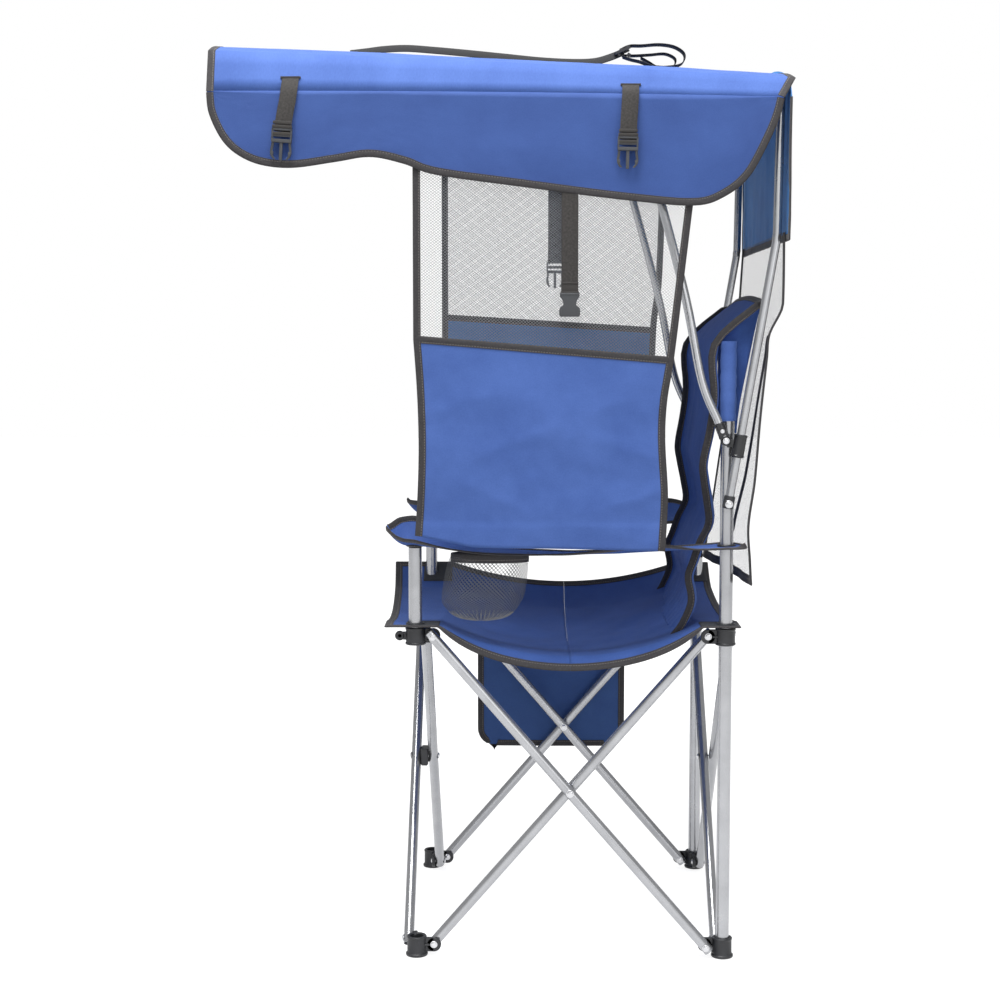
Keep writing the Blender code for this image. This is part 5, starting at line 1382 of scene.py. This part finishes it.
cup_net = net("cup_net", cup_at, (0.30, 0.12), "front_left_hub", CUP_GATHER, 4.2 * MM, 0.52 * MM, ["cup_holder"],
              REAR_THREAD)
gathers = started_mesh()
for k in range(44):
    rib = [Vector(cup_at(k / 44, v)) for v in (0.66, 0.72, 0.78, 0.84, 0.90, 0.95, 1.0)]
    add_tube(gathers, rib, 0.45 * MM, 6)
piece("cup_gathers", gathers, NET_THREAD, "front_left_hub", (), CUP_GATHER)
rim_line = [Vector(cup_at(u, 0)) for u in share_line(72)]
rim = started_mesh()
add_sweep(rim, rim_line, [Vector((0, 0, -1))] * 73,
          [(p - Vector((POST_X, CUP_MIDDLE.y, p.z))).normalized() for p in rim_line], tape_profile(12 * MM))
piece("cup_rim_binding", rim, TAPE, "front_left_hub", (), CUP_GATHER, angle=50)

# %% [markdown]
# ## Side pocket
# A flat bag on the far side, bound round its rounded corners and hung by two tapes.

# %% Side pocket
POCKET_LOW, POCKET_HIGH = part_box("side_pocket")
POCKET_X = (POCKET_LOW.x + POCKET_HIGH.x) / 2
POCKET_CORNER = 30 * MM
POCKET_GATHER = {"joint": "fold", "axis": (0, 1, 0), "anchor": (0, REAR_Y, 0), "keep": 0.348}


def pocket_at(u, v):
    """The pocket's face: u to the rear, v up, with round lower corners and a slack middle."""
    width, height = POCKET_HIGH.y - POCKET_LOW.y, POCKET_HIGH.z - POCKET_LOW.z
    z = height * v
    inset = POCKET_CORNER - math.sqrt(max(0.0, POCKET_CORNER ** 2 - max(0.0, POCKET_CORNER - z) ** 2))
    y = POCKET_LOW.y + inset + (width - 2 * inset) * u
    slack = math.sin(math.pi * u) * math.sin(math.pi * min(1.0, v * 0.8 + 0.1))
    fold = unevenness((y, z, 4), 50 * MM, 3 * MM) * slack
    return POCKET_X + 3 * MM * slack + fold, y, POCKET_LOW.z + z


pocket = cloth("pocket_cloth", pocket_at, 60, 50, (0.256, 0.186), "rear_right_hub", ["side_pocket"], POCKET_GATHER,
               (POCKET_OXFORD, POCKET_OXFORD))
around = [*((0, 1 - k / 40) for k in range(40)), *((k / 40, 0) for k in range(41)), *((1, k / 40) for k in range(1, 41))]
into = []
for u, v in around:
    into.append((1, 0) if u == 0 and v > 0.12 else (-1, 0) if u == 1 and v > 0.12 else (0.5 - u, 1))
edge_binding("pocket_binding", pocket_at, around, into, "rear_right_hub", POCKET_GATHER)
edge_binding("pocket_top_binding", pocket_at, along_cloth(50, 1, 0), [(0, -1)] * 51, "rear_right_hub", POCKET_GATHER)

# %% [markdown]
# ## Straps and buckles
# Two tie straps are sewn to each roof edge and end in the male half of a side-release buckle. One strap a
# side hangs in the window: the left one ends in the female half, the right one in a male half. Webbing is
# a thin flat band, so each is one section swept along its line, and the buckles are moulded nylon.

# %% Straps and buckles
BUCKLE_NYLON = grained("moulded_grey_nylon", "#484A4E", "#37393C", 0.8 * MM, 0.0, 0.42, 0.05, 0.25, 0.12 * MM)
STRAP_WIDTH = 24 * MM
STRAP_HALF = 0.9 * MM


def band_profile(width, half=STRAP_HALF):
    """The section of a flat strap with soft edges."""
    side = width / 2
    return [(-side, -half * 0.4), (-side, half * 0.4), (-side + half, half), (side - half, half),
            (side, half * 0.4), (side, -half * 0.4), (side - half, -half), (-side + half, -half)]


def strap(name, points, body, replaces=(), material=WEBBING, squash=None, across=(0, 1, 0), width=STRAP_WIDTH):
    """A flat strap along a smooth line through points, across the direction given."""
    line = smooth_line(points, 6)
    along = [(line[min(i + 1, len(line) - 1)] - line[max(i - 1, 0)]).normalized() for i in range(len(line))]
    over = [(Vector(across) - a * a.dot(Vector(across))).normalized() for a in along]
    bm = started_mesh()
    add_sweep(bm, line, over, [o.cross(a).normalized() for o, a in zip(over, along)], band_profile(width))
    return piece(name, bm, material, body, replaces, squash, angle=50)


def facing(spot, side, lean=0.0):
    """The matrix of a fitting on a side: local X along it, local Y up, local Z outwards."""
    turn = Matrix(((0, 0, side), (side, 0, 0), (0, 1, 0))).to_4x4()
    return Matrix.Translation(spot) @ turn @ Matrix.Rotation(lean, 4, "Z")


def block_at(bm, frame_of, size, spot, bevel=0.6 * MM):
    """A block of size mm with its middle at a spot, both in mm in a fitting's own frame."""
    place = frame_of @ Matrix.Translation(Vector(spot) * MM)
    add_block(bm, [s * MM for s in size], place, bevel, 2)


def male_buckle(name, frame_of, body, squash=None):
    """The male half of a side-release buckle: a ladder frame, a middle guide and two sprung prongs."""
    bm = started_mesh()
    for y, height, depth in ((0, 3.2, 5), (-8, 4.6, 4.2), (-16, 5, 6.4)):
        block_at(bm, frame_of, (29, height, depth), (0, y, 0))
    for x in (-13.4, 13.4):
        block_at(bm, frame_of, (2.6, 18, 5), (x, -8, 0))
    block_at(bm, frame_of, (4.6, 27, 3.6), (0, -30.5, 0), 0.9 * MM)
    for x in (-1, 1):
        spine = smooth_line([frame_of @ (Vector(p) * MM) for p in (
            (x * 12, -17, 0), (x * 12.6, -24, 0), (x * 13.6, -31, 0), (x * 12.4, -37, 0), (x * 9, -42, 0))], 5)
        wide = (frame_of.to_3x3() @ Vector((1, 0, 0))).normalized()
        out = (frame_of.to_3x3() @ Vector((0, 0, 1))).normalized()
        add_sweep(bm, spine, [wide] * len(spine), [out] * len(spine), band_profile(3.6 * MM, 2.2 * MM))
        block_at(bm, frame_of, (4.4, 6, 4.6), (x * 12.6, -34, 0), 1.2 * MM)
    return piece(name, bm, BUCKLE_NYLON, body, (), squash, angle=40)


def female_buckle(name, frame_of, body):
    """The female half: a waisted shell with a window in each side."""
    half = [(14, 3), (14.2, -2), (11, -6.5), (9.3, -11), (9.3, -15), (13.6, -17.5), (15, -21), (15, -29), (13.5, -31)]
    outline = half + [(-x, y) for x, y in reversed(half)]
    bm = started_mesh()
    ring = [bm.verts.new(frame_of @ (Vector((x, y, -4.2)) * MM)) for x, y in outline]
    face = bm.faces.new(ring)
    grown = bmesh.ops.extrude_face_region(bm, geom=[face])["geom"]
    rise = (frame_of.to_3x3() @ Vector((0, 0, 1))).normalized() * 8.4 * MM
    bmesh.ops.translate(bm, verts=[v for v in grown if isinstance(v, bmesh.types.BMVert)], vec=rise)
    bmesh.ops.recalc_face_normals(bm, faces=bm.faces)
    bmesh.ops.bevel(bm, geom=list(bm.edges), offset=1.1 * MM, segments=3, affect="EDGES", profile=0.6)
    for x in (-12.6, 12.6):
        block_at(bm, frame_of, (1.6, 9, 9.6), (x, -25, 0), 0.5 * MM)
    block_at(bm, frame_of, (27, 3, 9.4), (0, 1, 0), 0.8 * MM)
    return piece(name, bm, BUCKLE_NYLON, body, (), None, angle=40)


# (name, Y where it is sewn on, height there, Y and height where its buckle starts, its lean)
TIES = (("front", -0.298, 1.303, -0.309, 1.228, -0.07), ("rear", 0.187, 1.292, 0.183, 1.216, -0.02))
for tie, y_top, z_top, y_low, z_low, lean in TIES:
    slope_x = ROOF_X - 7 * MM
    edge_z = roof_height(ROOF_X, y_top)
    points = [(x, y_top + (y_low - y_top) * share, z) for x, share, z in (
        (slope_x + 1.2 * MM, 0, z_top), (ROOF_X + 2.2 * MM, .12, edge_z + 4 * MM),
        (ROOF_X + 5.5 * MM, .3, edge_z - 12 * MM), (ROOF_X + 7.5 * MM, .7, (edge_z + z_low) / 2 - 8 * MM),
        (ROOF_X + 8.5 * MM, 1, z_low - 3 * MM))]
    strap("tie_webbing_" + tie, points, "canopy_left", [f"tie_strap_{tie}_left"])
    folds = started_mesh()
    block_at(folds, facing(points[0], 1), (29, 3.2, 3.0), (0, 0, 0.4))
    low = facing((ROOF_X + 10.2 * MM, y_low, z_low), 1, lean)
    for y, width in ((9.5, 26.5), (4, 28), (-6, 25)):
        block_at(folds, low, (width, 4.6, 4.6), (0, y, 0.6), 1.2 * MM)
    piece("tie_folds_" + tie, folds, WEBBING, "canopy_left")
    male_buckle("tie_buckle_" + tie, facing((ROOF_X + 9.8 * MM, y_low, z_low), 1, lean), "canopy_left")

for side_name, side in SIDES.items():
    low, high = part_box("centre_strap_" + side_name)
    y, top, buckle_top = (low.y + high.y) / 2, high.z, low.z + (32 if side > 0 else 44) * MM
    points = [(side * (ROOF_X + x * MM), y, z) for x, z in (
        (0.6, top - 2 * MM), (1.4, top - 30 * MM), (3.2, (top + buckle_top) / 2), (4.2, buckle_top))]
    strap("window_webbing_" + side_name, points, "canopy_" + side_name, ["centre_strap_" + side_name])
    folds = started_mesh()
    spot = facing((side * (ROOF_X + 4.6 * MM), y, buckle_top), side)
    for up, width in ((17, 25), (4, 26.5)):
        block_at(folds, spot, (width, 3, 4.4), (0, up, 0), 1.1 * MM)
    block_at(folds, spot, (24.5, 14, 3), (0, 10, 0), 0.8 * MM)
    piece("window_strap_folds_" + side_name, folds, WEBBING, "canopy_" + side_name)
    (female_buckle if side > 0 else male_buckle)("window_buckle_" + side_name, spot, "canopy_" + side_name)

# %% [markdown]
# ## Shoulder strap
# The carrying strap is sewn along the roof's crown. It lies flat at the front, lifts into an adjuster
# near the rear and ends in two loops.

# %% Shoulder strap
STRAP_LOW, STRAP_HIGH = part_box("shoulder_strap")
CROWN = {"joint": "fold", "axis": (1, 0, 0), "anchor": (ROOF_X, 0, 0), "keep": 0.468}


def on_crown(y, lift, x=0.0):
    """A point above the roof's crown."""
    return x, y, roof_height(x, y) + lift * MM


lying = [on_crown(y, lift) for y, lift in (
    (STRAP_LOW.y, 2), (-.215, 6), (-.185, 11), (-.150, 14), (-.108, 13), (-.060, 11), (0, 8), (.060, 5),
    (.110, 5), (.145, 8), (.170, 16), (.190, 25))]
strap("shoulder_webbing", lying, "canopy_left", ["shoulder_strap"], BLACK_WEBBING, CROWN, (.86, 0, -.5), 27 * MM)
adjuster_y = 195 * MM
upper = [on_crown(adjuster_y + y * MM, lift, x * MM) for y, lift, x in (
    (-6, 30, 0), (6, 35, 0), (24, 36, 2), (52, 39, 4), (76, 36, 6), (91, 25, 8), (86, 10, 9), (62, 4, 10), (38, 3, 10))]
strap("shoulder_loop_upper", upper, "canopy_left", (), BLACK_WEBBING, CROWN, (1, 0, 0), 25 * MM)
lower = [on_crown(adjuster_y + y * MM, lift, x * MM) for y, lift, x in (
    (-4, 20, -3), (14, 21, -4), (38, 24, -6), (62, 27, -8), (78, 20, -10), (74, 8, -11), (52, 6, -12), (36, 14, -14),
    (24, 20, -15))]
strap("shoulder_loop_lower", lower, "canopy_left", (), BLACK_WEBBING, CROWN, (1, 0, 0), 22 * MM)
tail = [on_crown(adjuster_y + y * MM, lift, x * MM) for y, lift, x in (
    (-6, 17, 3), (8, 13, 5), (22, 10, 8), (40, 4, 12), (66, 3, 14))]
strap("shoulder_tail", tail, "canopy_left", (), BLACK_WEBBING, CROWN, (1, 0, 0), 24 * MM)
slide = started_mesh()
for y, lift, tilt in ((-16, 21, 0.5), (-8, 27, 0.4), (2, 32, 0.2), (4, 20, -0.5)):
    place = Matrix.Translation(Vector(on_crown(adjuster_y + y * MM, lift))) @ Matrix.Rotation(tilt, 4, "X")
    add_block(slide, (31 * MM, 5.5 * MM, 4.2 * MM), place, 1.1 * MM)
for x in (-14.5, 14.5):
    place = Matrix.Translation(Vector(on_crown(adjuster_y - 6 * MM, 26, x * MM))) @ Matrix.Rotation(0.42, 4, "X")
    add_block(slide, (3 * MM, 26 * MM, 5 * MM), place, 1.1 * MM)
piece("shoulder_adjuster", slide, GLOSSY_NYLON, "canopy_left", (), CROWN)
